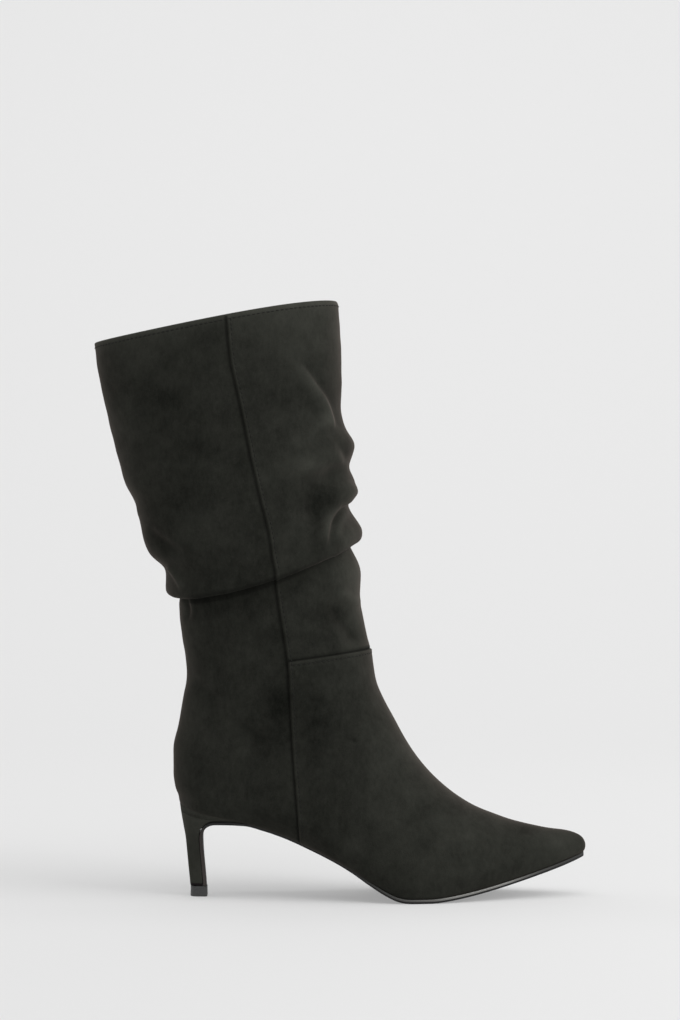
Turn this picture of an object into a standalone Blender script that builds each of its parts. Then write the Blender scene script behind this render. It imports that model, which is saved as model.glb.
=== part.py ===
# Slouch boot, right foot: a soft shaft slouched in one deep fold, a pointed toe and a slim covered heel.
# X runs from heel to toe, Y to the inner side of the foot, Z up; the boot stands on z = 0.
import math

import bmesh
import bpy
import numpy as np

# Driving dimensions, in metres
SOLE_LENGTH = 0.2492        # back of the heel seat to the tip of the toe, along the floor
BALL_WIDTH = 0.0780         # across the feather edge at the ball
HEEL_WIDTH = 0.0510         # across the feather edge at the heel seat
HEEL_HEIGHT = 0.0460        # floor to the underside of the sole at the seat
SEAT_RISE = 0.0090          # how much higher the back of the seat stands
TOE_SPRING = 0.0245         # floor to the underside of the sole at the toe
TOE_SHIFT = 0.0055          # the toe's tip lies this far to the inner side
FOREPART_SOLE = 0.0026      # thickness of the sole under the ball
SHANK_SOLE = 0.0018         # and under the arch
BREAST_SOLE = 0.0020        # and down the front of the heel
SOLE_EDGE = 0.0012          # the sole stands out this far past the feather at the ball

INSTEP_RISE = 0.1377        # feather to the ankle seam, at the front
QUARTER_RISE = 0.0787       # feather to the level of the ankle seam, at the back
ANKLE_LENGTH = 0.1139       # fore and aft at the ankle seam
ANKLE_BACK = 0.0024         # the back of the ankle lies this far ahead of the heel seat's back
ANKLE_WIDTH = 0.0750
HEEL_CURVE = 0.0062         # the heel of the upper swells back by this much
FEATHER_CURVE = 0.0130      # the body reaches its full width this far over the feather

SHAFT_FRONT = 0.2180        # ankle seam to collar at the front, as it stands
SHAFT_BACK = 0.2065         # and at the back
SHAFT_WIDTH = 0.0950        # across the slack shaft at its widest
COLLAR_REACH = 0.0576       # the collar's back lies this far behind the ankle's back
COLLAR_LEAN = 0.0209        # and its front this far behind the ankle's front
SIDE_SAG = 0.0090           # the folds droop this much at the sides
FOLD_DROP = 0.0085          # height of the tuck under the fold

WALL = 0.0018               # suede and lining together
LAP = 0.00045               # one layer lapped over the next at a seam
LASTING_MARGIN = 0.0080     # width of the upper turned in under the insole
MARGIN_ENDS = 2.2           # at toe and heel together the margin takes this many widths off its length
MARGIN_LIMIT = 0.42         # and never more than this share of the half width
INSOLE_THICKNESS = 0.0016
INSOLE_TOE = 0.0120         # the insole stops this far behind the toe's tip
INSOLE_BACK = 0.0045        # and this far ahead of the seat's back
TOP_LIFT_LENGTH = 0.0106
TOP_LIFT_WIDTH = 0.0102
TOP_LIFT_HEIGHT = 0.0063
HEEL_RAKE = 0.0043          # the tip's back lies this far ahead of the seat's back
RAKE_POWER = 1.25           # how the back of the heel curves into that rake
HEEL_LEDGE = 0.0022         # the top of the heel stands back by this much, under the upper's swell
LEDGE_END = 0.42            # and this share of the way down it no longer does
BREAST_RADIUS = 0.0090      # round corner between the arch and the heel's front
BREAST_HOLLOW = 0.24        # the heel's front draws back by this share of the top lift's length
HOLLOW_END = 0.85           # and has done so by this share of the heel's height
BREAST_SHARE = 0.96         # width of the sole down the breast, as a share of the heel's
TIP_SQUARE = 0.2            # the top lift's back is round but for this share of its half length
TIP_CORNER = 0.18           # and its front corners round off over this share of its half width
SEAT_POINT = 0.75           # a heel ring rounds off over at most this share of its length
GAP = 0.0003                # between pieces that touch
SOCK_GAP = 0.0007           # under the insole, which bends over the margin's flat facets

BACK_COLUMNS = 8            # from the back of the leg to the side seam
FRONT_COLUMNS = 15          # from the side seam to the front
SEAM_SHARE = 0.553          # where the side seam crosses the ankle and the collar, from their backs
SOLE_SEAM = 0.291           # and where it meets the sole, as a share of its length

# The side seam up the shaft: level from ankle to collar, share of its way back from ankle to collar
SIDE_SEAM = (
    # level, way back
    (0.000, 0.000),
    (0.245, 0.178),
    (0.287, 0.198),
    (0.342, 0.215),
    (0.724, 0.715),
    (1.000, 1.000),
)

# Underside of the sole behind the ball: place along the sole, height as a share of the heel's
ARCH = (
    # along, height
    (0.000, 1.000),
    (0.104, 1.000),
    (0.152, 0.988),
    (0.204, 0.915),
    (0.249, 0.832),
    (0.313, 0.680),
    (0.373, 0.522),
    (0.418, 0.384),
    (0.460, 0.232),
    (0.505, 0.086),
    (0.530, 0.026),
    (0.550, 0.004),
    (0.565, 0.000),
)
TREAD_END = 0.610           # the flat under the ball runs from the arch's end to here
SPRING_POWER = 1.45         # how the toe curls up past it
FOREPART = (0.38, 0.50)     # between these shares the sole thickens and widens from shank to forepart

# Rise of the seat towards the back, over the top of the sole
SEAT = (
    # along, share of the rise; it starts behind the seat, where the heel stands back
    (-0.012, 1.114),
    (0.000, 1.00),
    (0.042, 0.60),
    (0.082, 0.41),
    (0.104, 0.30),
    (0.132, 0.17),
    (0.152, 0.085),
    (0.170, 0.025),
    (0.190, 0.000),
)

# Half widths of the feather before the toe and heel are rounded off, and how far the body swells past it
OUTLINE = (
    # along, of half the heel width, of half the ball width, swell as a share of half the ball width
    (0.00, 1.00, 0.00, 0.07),
    (0.10, 1.00, 0.00, 0.08),
    (0.16, 0.96, 0.00, 0.12),
    (0.23, 0.55, 0.26, 0.18),
    (0.31, 0.30, 0.46, 0.19),
    (0.39, 0.12, 0.67, 0.16),
    (0.46, 0.02, 0.85, 0.11),
    (0.52, 0.00, 0.955, 0.08),
    (0.57, 0.00, 1.00, 0.065),
    (0.62, 0.00, 0.985, 0.06),
    (0.69, 0.00, 0.88, 0.06),
    (0.76, 0.00, 0.73, 0.06),
    (0.83, 0.00, 0.57, 0.055),
    (0.90, 0.00, 0.42, 0.045),
    (1.00, 0.00, 0.27, 0.03),
)
HEEL_ROUND = 0.105          # the seat rounds off over this share of the sole
TOE_ROUND = 0.100           # and the toe over this

# Sideways bend of the last, as a share of the toe's shift; the outer side is negative
BEND = (
    # along, shift
    (0.00, 0.00),
    (0.23, -0.20),
    (0.40, -0.38),
    (0.52, -0.30),
    (0.62, 0.05),
    (0.74, 0.45),
    (0.88, 0.80),
    (1.00, 1.00),
)

# Where each ring of the foot crosses the front of the upper, from the feather to the ankle
RIDGE = (
    # along, rise over the feather as a share of the instep rise
    (0.9944, 0.000),
    (1.0000, 0.020),
    (0.9964, 0.050),
    (0.9850, 0.079),
    (0.9551, 0.117),
    (0.9149, 0.151),
    (0.8668, 0.196),
    (0.8186, 0.243),
    (0.7705, 0.296),
    (0.7263, 0.347),
    (0.6862, 0.404),
    (0.6481, 0.466),
    (0.6120, 0.534),
    (0.5811, 0.601),
    (0.5515, 0.680),
    (0.5237, 0.760),
    (0.4986, 0.822),
    (0.4798, 0.879),
    (0.4700, 0.945),
)
TOE_RINGS = 3               # the first rings close the face of the toe, below its crown

# Back of the upper from the feather to the ankle: share of the quarter's rise, swell behind the seat
HEEL_BACK = (
    # up, swell
    (0.00, 0.34),
    (0.05, 0.48),
    (0.11, 0.76),
    (0.24, 1.00),
    (0.42, 1.00),
    (0.62, 0.48),
    (0.84, 0.02),
    (1.00, -0.387),
)

# Rings of the shaft, as shares of the shaft's rises, reach, lean, width and sag; skew moves the sag to the back
LOWER_SHAFT = (
    # up back, up front, back, front, width, sag, skew
    (0.012, 0.014, 0.005, 0.035, 0.787, 0.00, 0.00),
    (0.053, 0.048, 0.021, 0.129, 0.779, 0.05, 0.01),
    (0.107, 0.099, 0.050, 0.244, 0.779, 0.20, 0.03),
    (0.157, 0.151, 0.075, 0.359, 0.787, 0.45, 0.07),
    (0.194, 0.211, 0.085, 0.330, 0.800, 0.75, 0.11),
    (0.223, 0.262, 0.089, 0.410, 0.808, 0.95, 0.14),
)
FOLD_EDGE = (0.2450, 0.3200, 1.00, 0.15)    # up back, up front, sag and skew of the fold's lowest line
FOLD_ROOT = (0.087, 0.660, 0.810)           # back, front, width where the tuck goes in
FOLD_LIP = (0.229, 0.287, 0.989)            # and of the roll that hangs over it
# The tuck: from the root under the roll and round to its outside
TUCK = (
    # out from root to lip, up from the edge as a share of the drop
    (0.00, -0.30),
    (0.00, 0.45),
    (0.04, 0.82),
    (0.11, 0.93),
    (0.17, 0.78),
    (0.21, 0.38),
    (0.34, 0.08),
    (0.58, 0.00),
    (0.83, 0.10),
    (1.00, 0.50),
)
UPPER_SHAFT = (
    # up back, up front, back, front, width, sag, skew
    (0.312, 0.365, 0.231, 0.345, 0.996, 0.95, 0.14),
    (0.344, 0.397, 0.307, 0.584, 1.000, 0.85, 0.13),
    (0.375, 0.429, 0.420, 0.732, 1.000, 0.70, 0.10),
    (0.421, 0.454, 0.477, 0.579, 0.998, 0.55, 0.08),
    (0.479, 0.479, 0.514, 0.493, 0.994, 0.45, 0.07),
    (0.528, 0.507, 0.568, 0.593, 0.989, 0.35, 0.05),
    (0.571, 0.534, 0.655, 0.670, 0.985, 0.25, 0.04),
    (0.615, 0.566, 0.707, 0.569, 0.981, 0.20, 0.03),
    (0.666, 0.596, 0.753, 0.522, 0.977, 0.10, 0.01),
    (0.722, 0.632, 0.806, 0.720, 0.968, 0.00, 0.00),
    (0.780, 0.680, 0.858, 0.904, 0.960, 0.00, 0.00),
    (0.838, 0.762, 0.903, 0.890, 0.948, -0.05, 0.10),
    (0.896, 0.839, 0.943, 0.904, 0.939, -0.10, 0.20),
    (0.954, 0.920, 0.979, 0.943, 0.931, -0.10, 0.20),
    (1.000, 1.000, 1.000, 1.000, 0.926, -0.10, 0.20),
)
SHAFT_ROUND = 2.12          # power of the shaft's oval, a little squarer than an ellipse
DROOP_POWER = 1.4           # how the sag gathers at the sides
EVEN_SHARE = 0.55           # columns are spaced this far by length, and else as the ring's own points are

# How the foot's sections are filled out
ANKLE_ROUND = 0.165         # the back of the leg rounds off over this share of the sole, at the ankle
PEAK_POWER = 1.5            # sections over the instep fall away like a low roof
TOE_POWER = 2.2             # and over the toe like an arch
TOE_FACE = 0.82             # how far the face of the toe leans in under its crown
OVAL_FROM = 6               # from this ring up, the foot turns into the shaft's oval
CROWN_CLIMB = 4.0           # slope of the ridge where the leg takes over from the foot
LAP_FADE = 5                # rings over which the vamp's lapped edge thins into the foot

# The covered heel, from its tip to its seat
HEEL_RINGS = (
    # back height over the tip as a share of the block, half width as a share of the seat's, how seat-like
    (0.00, 0.185, 0.00),
    (0.17, 0.200, 0.00),
    (0.34, 0.222, 0.00),
    (0.50, 0.265, 0.05),
    (0.62, 0.350, 0.10),
    (0.71, 0.490, 0.25),
    (0.79, 0.650, 0.45),
    (0.86, 0.800, 0.65),
    (0.91, 0.895, 0.85),
    (0.95, 0.955, 1.00),
    (1.00, 0.985, 1.00),
)
WEDGE_END = 0.142           # the seat's thin lip runs forward to here along the sole

# Middle of the whole boot, from the back of the seat: the frame's origin
ORIGIN = 0.5 * (SOLE_LENGTH + ANKLE_BACK - COLLAR_REACH)


def smooth(table, column, x):
    """Monotone cubic through a table's column: flat stretches stay flat and nothing overshoots."""
    rows = np.array(table, dtype=float)
    xs, ys = rows[:, 0], rows[:, column]
    step = np.diff(xs)
    slope = np.diff(ys) / step
    tangent = np.zeros(len(xs))
    tangent[0], tangent[-1] = slope[0], slope[-1]
    same = slope[:-1] * slope[1:] > 0.0
    weight_a = 2.0 * step[1:] + step[:-1]
    weight_b = step[1:] + 2.0 * step[:-1]
    safe_a = np.where(same, slope[:-1], 1.0)
    safe_b = np.where(same, slope[1:], 1.0)
    mean = (weight_a + weight_b) / (weight_a / safe_a + weight_b / safe_b)
    tangent[1:-1] = np.where(same, mean, 0.0)
    x = np.clip(np.asarray(x, dtype=float), xs[0], xs[-1])
    i = np.clip(np.searchsorted(xs, x) - 1, 0, len(xs) - 2)
    u = (x - xs[i]) / step[i]
    return (ys[i] * (1 + 2 * u) * (1 - u) ** 2 + ys[i + 1] * u * u * (3 - 2 * u)
            + step[i] * u * (1 - u) * (tangent[i] * (1 - u) - tangent[i + 1] * u))


def ease(x):
    """Smooth step from 0 to 1."""
    u = np.clip(x, 0.0, 1.0)
    return u * u * (3 - 2 * u)


def sole_bottom(along):
    """Height of the underside of the sole at a distance from the back of the seat."""
    share = np.asarray(along, dtype=float) / SOLE_LENGTH
    arch = HEEL_HEIGHT * smooth(ARCH, 1, share)
    curl = np.clip((share - TREAD_END) / (1 - TREAD_END), 0.0, 1.0)
    return arch + TOE_SPRING * curl ** SPRING_POWER


def forepart(along):
    """0 along the shank, 1 under the ball and toe."""
    share = np.asarray(along, dtype=float) / SOLE_LENGTH
    return ease((share - FOREPART[0]) / (FOREPART[1] - FOREPART[0]))


def sole_thickness(along):
    return SHANK_SOLE + (FOREPART_SOLE - SHANK_SOLE) * forepart(along)


def feather_height(along):
    """Bottom of the upper: just over the sole, and over the heel's rising seat."""
    share = np.asarray(along, dtype=float) / SOLE_LENGTH
    return sole_bottom(along) + sole_thickness(along) + GAP + SEAT_RISE * smooth(SEAT, 1, share)


def centre_line(along):
    """Sideways bend of the foot."""
    return TOE_SHIFT * smooth(BEND, 1, np.asarray(along, dtype=float) / SOLE_LENGTH)


def plain_half_width(along):
    share = np.asarray(along, dtype=float) / SOLE_LENGTH
    return 0.5 * (HEEL_WIDTH * smooth(OUTLINE, 1, share) + BALL_WIDTH * smooth(OUTLINE, 2, share))


def swell(along):
    return 0.5 * BALL_WIDTH * smooth(OUTLINE, 3, np.asarray(along, dtype=float) / SOLE_LENGTH)


def round_end(distance, reach):
    """Rounds an outline off: 0 at its end, 1 from reach inwards, along a quarter of an ellipse."""
    u = np.clip(distance / reach, 0.0, 1.0)
    return np.sqrt(u * (2.0 - u))


def feather_half_width(along, back=0.0, tip=SOLE_LENGTH):
    """Half width of the sole's outline, between its own back and tip."""
    return (plain_half_width(along) * round_end(along - back, HEEL_ROUND * SOLE_LENGTH)
            * round_end(tip - along, TOE_ROUND * SOLE_LENGTH))


def crown(along):
    """Height of the upper's ridge over the feather; behind the ankle it climbs out of the way."""
    rows = np.array([(a, r) for a, r in RIDGE[TOE_RINGS:]] + [(ankle_front() / SOLE_LENGTH, 1.0)])[::-1]
    share = np.asarray(along, dtype=float) / SOLE_LENGTH
    climb = CROWN_CLIMB * np.clip(rows[0, 0] - share, 0.0, None) * SOLE_LENGTH
    return INSTEP_RISE * smooth(rows, 1, share) + climb


def ankle_front():
    return ANKLE_BACK + ANKLE_LENGTH


def back_of(up):
    """Back of the upper between feather and ankle, from the back of the seat."""
    return -HEEL_CURVE * smooth(HEEL_BACK, 1, up)


def dense_sides(back, front, shape):
    """One ring as two dense lines, outer side then inner side, each from the back to the front."""
    turn = np.linspace(0.0, math.pi, 241)
    along = back + (front - back) * 0.5 * (1.0 - np.cos(turn))
    half, height, middle = shape(along, turn)
    half[0] = half[-1] = 0.0
    return [np.column_stack((along, middle + side * half, height)) for side in (-1.0, 1.0)]


def foot_ring(index):
    """Ring of the foot: nested over the feather, narrowed by the last's rounded sections."""
    count = len(RIDGE)
    level = index / count
    front_share, rise_share = RIDGE[index]
    front = front_share * SOLE_LENGTH
    front_rise = rise_share * INSTEP_RISE
    back = float(back_of(level))
    back_rise = level * QUARTER_RISE
    tip = front if index < TOE_RINGS else SOLE_LENGTH

    def shape(along, turn):
        t = (along - back) / (front - back)
        base = feather_height(along)
        nested = base + back_rise + (front_rise - back_rise) * t
        ends = feather_height(np.array([back, front]))
        straight = (ends[0] + back_rise) * (1 - t) + (ends[1] + front_rise) * t
        height = nested + (straight - nested) * ease(level)
        tuck = np.sin(0.5 * math.pi * np.clip((height - base) / FEATHER_CURVE, 0.0, 1.0))
        body = plain_half_width(along) + swell(along) * tuck
        body = body * round_end(along - back, (HEEL_ROUND + (ANKLE_ROUND - HEEL_ROUND) * level) * SOLE_LENGTH)
        body = body * round_end(tip - along, TOE_ROUND * SOLE_LENGTH)
        fill = np.clip((height - base) / crown(along), 0.0, 1.0)
        power = PEAK_POWER + (TOE_POWER - PEAK_POWER) * ease((along / SOLE_LENGTH - 0.5) / 0.4)
        lean = TOE_FACE if index < TOE_RINGS else 1.0
        section = np.sqrt(np.clip(1.0 - (lean * fill) ** power, 0.0, 1.0))
        oval = 0.5 * ANKLE_WIDTH * (1 - np.abs(np.cos(turn)) ** SHAFT_ROUND) ** (1 / SHAFT_ROUND)
        blend = ease((index - OVAL_FROM) / (count - OVAL_FROM))
        half = body * section * (1 - blend) + oval * blend
        return half, height, centre_line(along) * (1 - blend)

    seam = SOLE_SEAM * SOLE_LENGTH + level * (seam_of(ANKLE_BACK, ankle_front()) - SOLE_SEAM * SOLE_LENGTH)
    return dense_sides(back, front, shape), seam


def seam_of(back, front):
    return back + SEAM_SHARE * (front - back)


def shaft_seam(up_back, up_front):
    """The side seam runs straight up the shaft, whatever its folds do."""
    ankle = seam_of(ANKLE_BACK, ankle_front())
    collar = seam_of(ANKLE_BACK - COLLAR_REACH, ankle_front() - COLLAR_LEAN)
    level = up_back + SEAM_SHARE * (up_front - up_back)
    return ankle + (collar - ankle) * float(smooth(SIDE_SEAM, 1, level))


def shaft_ring(up_back, up_front, back, front, width, sag, skew, lift=0.0):
    """Ring of the shaft: an oval whose sides droop."""
    x_back = ANKLE_BACK - back * COLLAR_REACH
    x_front = ankle_front() - front * COLLAR_LEAN
    z_back = float(feather_height(0.0)) + QUARTER_RISE + up_back * SHAFT_BACK + lift
    z_front = float(feather_height(ankle_front())) + INSTEP_RISE + up_front * SHAFT_FRONT + lift

    def shape(along, turn):
        half = 0.5 * SHAFT_WIDTH * width * (1 - np.abs(np.cos(turn)) ** SHAFT_ROUND) ** (1 / SHAFT_ROUND)
        droop = SIDE_SAG * np.sin(turn) ** DROOP_POWER * (sag + skew * np.cos(turn))
        t = (along - x_back) / (x_front - x_back)
        return half, z_back + (z_front - z_back) * t - droop, 0.0 * along

    return dense_sides(x_back, x_front, shape), shaft_seam(up_back, up_front)


def fold_ring(out, up):
    """Ring of the tuck under the fold, between the fold's root and its lip."""
    back, front, width = (r + out * (l - r) for r, l in zip(FOLD_ROOT, FOLD_LIP))
    up_back, up_front, sag, skew = FOLD_EDGE
    return shaft_ring(up_back, up_front, back, front, width, sag, skew, lift=up * FOLD_DROP)


def spread(line, count):
    """Points along a line, partly even and partly crowded as the line's own points are."""
    lengths = np.concatenate(([0.0], np.cumsum(np.linalg.norm(np.diff(line, axis=0), axis=1))))
    own = np.linspace(0.0, 1.0, len(line))
    measure = EVEN_SHARE * lengths / lengths[-1] + (1.0 - EVEN_SHARE) * own
    wanted = np.linspace(0.0, 1.0, count + 1)
    return np.column_stack([np.interp(wanted, measure, line[:, axis]) for axis in range(3)])


def ring_columns(sides, seam):
    """Columns of a ring: back, outer side seam, front, inner side seam and round to the back again."""
    halves = []
    for side in sides:
        cut = np.interp(seam, side[:, 0], np.arange(len(side)))
        point = np.array([np.interp(cut, np.arange(len(side)), side[:, axis]) for axis in range(3)])
        rear = np.vstack((side[:int(cut) + 1], point)) if cut > int(cut) else side[:int(cut) + 1]
        fore = np.vstack((point, side[int(cut) + 1:]))
        halves.append(np.vstack((spread(rear, BACK_COLUMNS)[:-1], spread(fore, FRONT_COLUMNS))))
    outer, inner = halves
    return np.vstack((outer, inner[-2:0:-1]))


def margin_ring(feather):
    """Inner edge of the lasting margin, turned in under the insole."""
    middle = 0.5 * SOLE_LENGTH
    along = middle + (feather[:, 0] - middle) * (1 - MARGIN_ENDS * LASTING_MARGIN / SOLE_LENGTH)
    half = feather_half_width(along)
    inset = np.minimum(LASTING_MARGIN, MARGIN_LIMIT * half)
    side = np.sign(feather[:, 1] - centre_line(feather[:, 0]))
    side[np.abs(feather[:, 1] - centre_line(feather[:, 0])) < 1e-7] = 0.0
    return np.column_stack((along, centre_line(along) + side * (half - inset), feather_height(along)))


def grid_normals(rings):
    """Mitred outward normals of a grid of rings that close round."""
    around = np.roll(rings, -1, axis=1) - rings
    rise = np.diff(rings, axis=0)
    face = np.cross(around[:-1] + around[1:], rise + np.roll(rise, -1, axis=1))
    face /= np.linalg.norm(face, axis=2, keepdims=True)
    padded = np.concatenate((face[:1], face, face[-1:]))
    corners = [padded[:-1], padded[1:], np.roll(padded[:-1], 1, axis=1), np.roll(padded[1:], 1, axis=1)]
    normal = sum(corners)
    normal /= np.linalg.norm(normal, axis=2, keepdims=True)
    lean = np.min([np.sum(normal * corner, axis=2) for corner in corners], axis=0)
    return normal / np.clip(lean, 0.6, 1.0)[:, :, None]


def upper_surface():
    """The outer face of the upper, rings by columns, from the lasting margin to the collar."""
    rows = [foot_ring(i) for i in range(len(RIDGE))]
    rows += [shaft_ring(*row) for row in LOWER_SHAFT]
    rows += [fold_ring(*row) for row in TUCK]
    rows += [shaft_ring(*row) for row in UPPER_SHAFT]
    rings = [ring_columns(*row) for row in rows]
    return np.array([margin_ring(rings[0])] + rings)


def add_mesh(name, points, faces, colour, roughness, smooth_angle=40.0):
    """A closed mesh object with its faces pointing out and a plain material."""
    mesh = bpy.data.meshes.new(name)
    mesh.from_pydata([(x - ORIGIN, y, z) for x, y, z in points], [], faces)
    body = bmesh.new()
    body.from_mesh(mesh)
    bmesh.ops.recalc_face_normals(body, faces=body.faces)
    body.to_mesh(mesh)
    body.free()
    mesh.shade_smooth()
    mesh.set_sharp_from_angle(angle=math.radians(smooth_angle))
    material = bpy.data.materials.new(name)
    material.use_nodes = True
    shader = material.node_tree.nodes["Principled BSDF"]
    shader.inputs["Base Color"].default_value = (*colour, 1.0)
    shader.inputs["Roughness"].default_value = roughness
    mesh.materials.append(material)
    piece = bpy.data.objects.new(name, mesh)
    bpy.context.collection.objects.link(piece)
    return piece


def loop_strip(first, second, count):
    """Quads between two closed loops of vertices that start at the given numbers."""
    return [(first + i, first + (i + 1) % count, second + (i + 1) % count, second + i) for i in range(count)]


def make_upper():
    outside = upper_surface()
    normals = grid_normals(outside)
    ring_count, columns = outside.shape[:2]
    ankle = 1 + len(RIDGE)
    ring_number = np.arange(ring_count)[:, None]
    column = np.arange(columns)[None, :]
    front_panel = (column > BACK_COLUMNS) & (column < columns - BACK_COLUMNS) & (ring_number > 1)
    vamp = front_panel & (ring_number <= ankle - 1)
    lap = LAP * front_panel + LAP * vamp * ease((ring_number - ankle + 1 + LAP_FADE) / LAP_FADE)
    skin = outside + normals * lap[:, :, None]
    lining = outside - normals * WALL
    points = np.vstack((skin.reshape(-1, 3), lining.reshape(-1, 3)))
    inner = ring_count * columns
    faces = []
    for ring in range(ring_count - 1):
        faces += loop_strip(ring * columns, (ring + 1) * columns, columns)
        faces += loop_strip(inner + (ring + 1) * columns, inner + ring * columns, columns)
    last = (ring_count - 1) * columns
    faces += loop_strip(last, inner + last, columns)
    faces += loop_strip(inner, 0, columns)
    return add_mesh("upper", points, faces, (0.016, 0.016, 0.014), 0.9)


def sole_path():
    """Stations of the sole's visible face: up the breast, round the corner and forward to the toe.

    Each gives the distance along, the height, the way into the boot, the thickness and the half width."""
    stations = []
    corner_x, corner_z = breast_corner()
    low = TOP_LIFT_HEIGHT + GAP
    for u in np.linspace(0.0, 1.0, 6):
        height = low + (corner_z - low) * u
        stations.append((breast_front(height), height, (-1.0, 0.0), BREAST_SOLE, breast_half_width(height)))
    for turn in corner_turns()[1:]:
        height = corner_z + BREAST_RADIUS * math.sin(turn)
        along = corner_x - BREAST_RADIUS * math.cos(turn)
        thickness = BREAST_SOLE + (SHANK_SOLE - BREAST_SOLE) * turn / (0.5 * math.pi)
        wide = breast_half_width(corner_z)
        wide += (shank_half_width(corner_x) - wide) * float(ease(turn / (0.5 * math.pi)))
        stations.append((along, height, (-math.cos(turn), math.sin(turn)), thickness, wide))
    tip = RIDGE[0][0] * SOLE_LENGTH + 0.5 * SOLE_EDGE
    shares = [corner_x / SOLE_LENGTH + (ARCH[-1][0] - corner_x / SOLE_LENGTH) * u
              for u in np.linspace(0.0, 1.0, 19)[1:]]
    shares += [TREAD_END + (tip / SOLE_LENGTH - TREAD_END) * u
               for u in np.sin(np.linspace(0.0, 0.5 * math.pi, 19))]
    for share in shares:
        along = share * SOLE_LENGTH
        stations.append((along, float(sole_bottom(along)), (0.0, 1.0), float(sole_thickness(along)),
                         shank_half_width(along, tip)))
    return stations


def shank_half_width(along, tip=SOLE_LENGTH):
    """Half width of the sole: inside the feather under the arch, a little past it from the ball to the toe."""
    edge = SOLE_EDGE * (2.0 * float(forepart(along)) - 1.0)
    edge *= float(round_end(tip - along, 0.5 * TOE_ROUND * SOLE_LENGTH))
    return float(feather_half_width(along, 0.0, tip)) + edge


def breast_corner():
    """Centre of the round corner between arch and breast: distance along and height."""
    corner_z = HEEL_HEIGHT - BREAST_RADIUS
    return breast_front(corner_z) + BREAST_RADIUS, corner_z


def corner_turns():
    """Steps round the corner between breast and arch, shared by the sole and the heel that it covers."""
    return np.linspace(0.0, 0.5 * math.pi, 5)


def breast_front(height):
    """The heel's front face, slightly hollow, above the top lift's front."""
    share = height / HEEL_HEIGHT
    return HEEL_RAKE + TOP_LIFT_LENGTH - GAP - BREAST_HOLLOW * TOP_LIFT_LENGTH * float(ease(share / HOLLOW_END))


def block_height():
    """Height of the back of the heel block over the top lift."""
    return float(heel_top(-HEEL_LEDGE)) - (TOP_LIFT_HEIGHT + GAP)


def breast_half_width(height):
    """Half width of the heel block at a height on its breast."""
    rows = [(row[0], row[1]) for row in HEEL_RINGS]
    share = (height - TOP_LIFT_HEIGHT - GAP) / block_height()
    return 0.5 * HEEL_WIDTH * float(smooth(rows, 1, share)) * BREAST_SHARE


def make_outsole():
    across = (-1.0, -0.93, -0.5, 0.0, 0.5, 0.93, 1.0)
    bevel = (0.3, 0.0, 0.0, 0.0, 0.0, 0.0, 0.3)
    points, faces = [], []
    stations = sole_path()
    for along, height, inward, thickness, half in stations:
        half = max(half, 0.0008)
        middle = float(centre_line(along))
        for depth_of in (lambda k: bevel[k] * thickness, lambda k: thickness):
            for k, side in enumerate(across):
                depth = depth_of(k)
                points.append((along + inward[0] * depth, middle + side * half, height + inward[1] * depth))
    wide = len(across)
    row = 2 * wide
    for station in range(len(stations) - 1):
        a, b = station * row, (station + 1) * row
        for k in range(wide - 1):
            faces.append((a + k, a + k + 1, b + k + 1, b + k))
            faces.append((a + wide + k, b + wide + k, b + wide + k + 1, a + wide + k + 1))
        faces.append((a, b, b + wide, a + wide))
        faces.append((a + wide - 1, a + row - 1, b + row - 1, b + wide - 1))
    last = (len(stations) - 1) * row
    for start in (0, last):
        for k in range(wide - 1):
            faces.append((start + k, start + wide + k, start + wide + k + 1, start + k + 1))
    return add_mesh("outsole", points, faces, (0.030, 0.026, 0.023), 0.35)


def make_insole():
    """The sock that lies on the lasting margin inside the upper."""
    clearance = WALL + 2.5 * GAP
    back = INSOLE_BACK
    tip = SOLE_LENGTH - INSOLE_TOE
    shares = 0.5 - 0.5 * np.cos(np.linspace(0.0, math.pi, 30))
    across = (-1.0, -0.5, 0.0, 0.5, 1.0)
    points, faces = [], []
    for share in shares:
        along = back + (tip - back) * share
        half = float(feather_half_width(along, back, tip)) - clearance
        half = max(half, 0.0012)
        floor = float(feather_height(along)) + WALL + SOCK_GAP
        for lift in (0.0, INSOLE_THICKNESS):
            for side in across:
                points.append((along, float(centre_line(along)) + side * half, floor + lift))
    wide = len(across)
    row = 2 * wide
    for station in range(len(shares) - 1):
        a, b = station * row, (station + 1) * row
        for k in range(wide - 1):
            faces.append((a + k, a + k + 1, b + k + 1, b + k))
            faces.append((a + wide + k, b + wide + k, b + wide + k + 1, a + wide + k + 1))
        faces.append((a, b, b + wide, a + wide))
        faces.append((a + wide - 1, a + row - 1, b + row - 1, b + wide - 1))
    last = (len(shares) - 1) * row
    for start in (0, last):
        for k in range(wide - 1):
            faces.append((start + k, start + wide + k, start + wide + k + 1, start + k + 1))
    return add_mesh("insole", points, faces, (0.10, 0.085, 0.07), 0.7)


def heel_top(along):
    return feather_height(along) - GAP


def heel_front_points():
    """Front of each heel ring: up the breast, round the corner and out under the seat's lip."""
    corner_x, corner_z = breast_corner()
    low = TOP_LIFT_HEIGHT + GAP
    end = WEDGE_END * SOLE_LENGTH
    points = []
    for u in (0.0, 0.28, 0.56, 0.82):
        height = low + (corner_z - low) * u
        points.append((breast_front(height) - BREAST_SOLE - GAP, height))
    for turn in corner_turns():
        reach = BREAST_RADIUS + GAP + BREAST_SOLE + (SHANK_SOLE - BREAST_SOLE) * turn / (0.5 * math.pi)
        points.append((corner_x - reach * math.cos(turn), corner_z + reach * math.sin(turn)))
    under = float(sole_bottom(end) + sole_thickness(end)) + GAP
    points.append((end, under))
    points.append((end, float(heel_top(end))))
    return points


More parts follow.
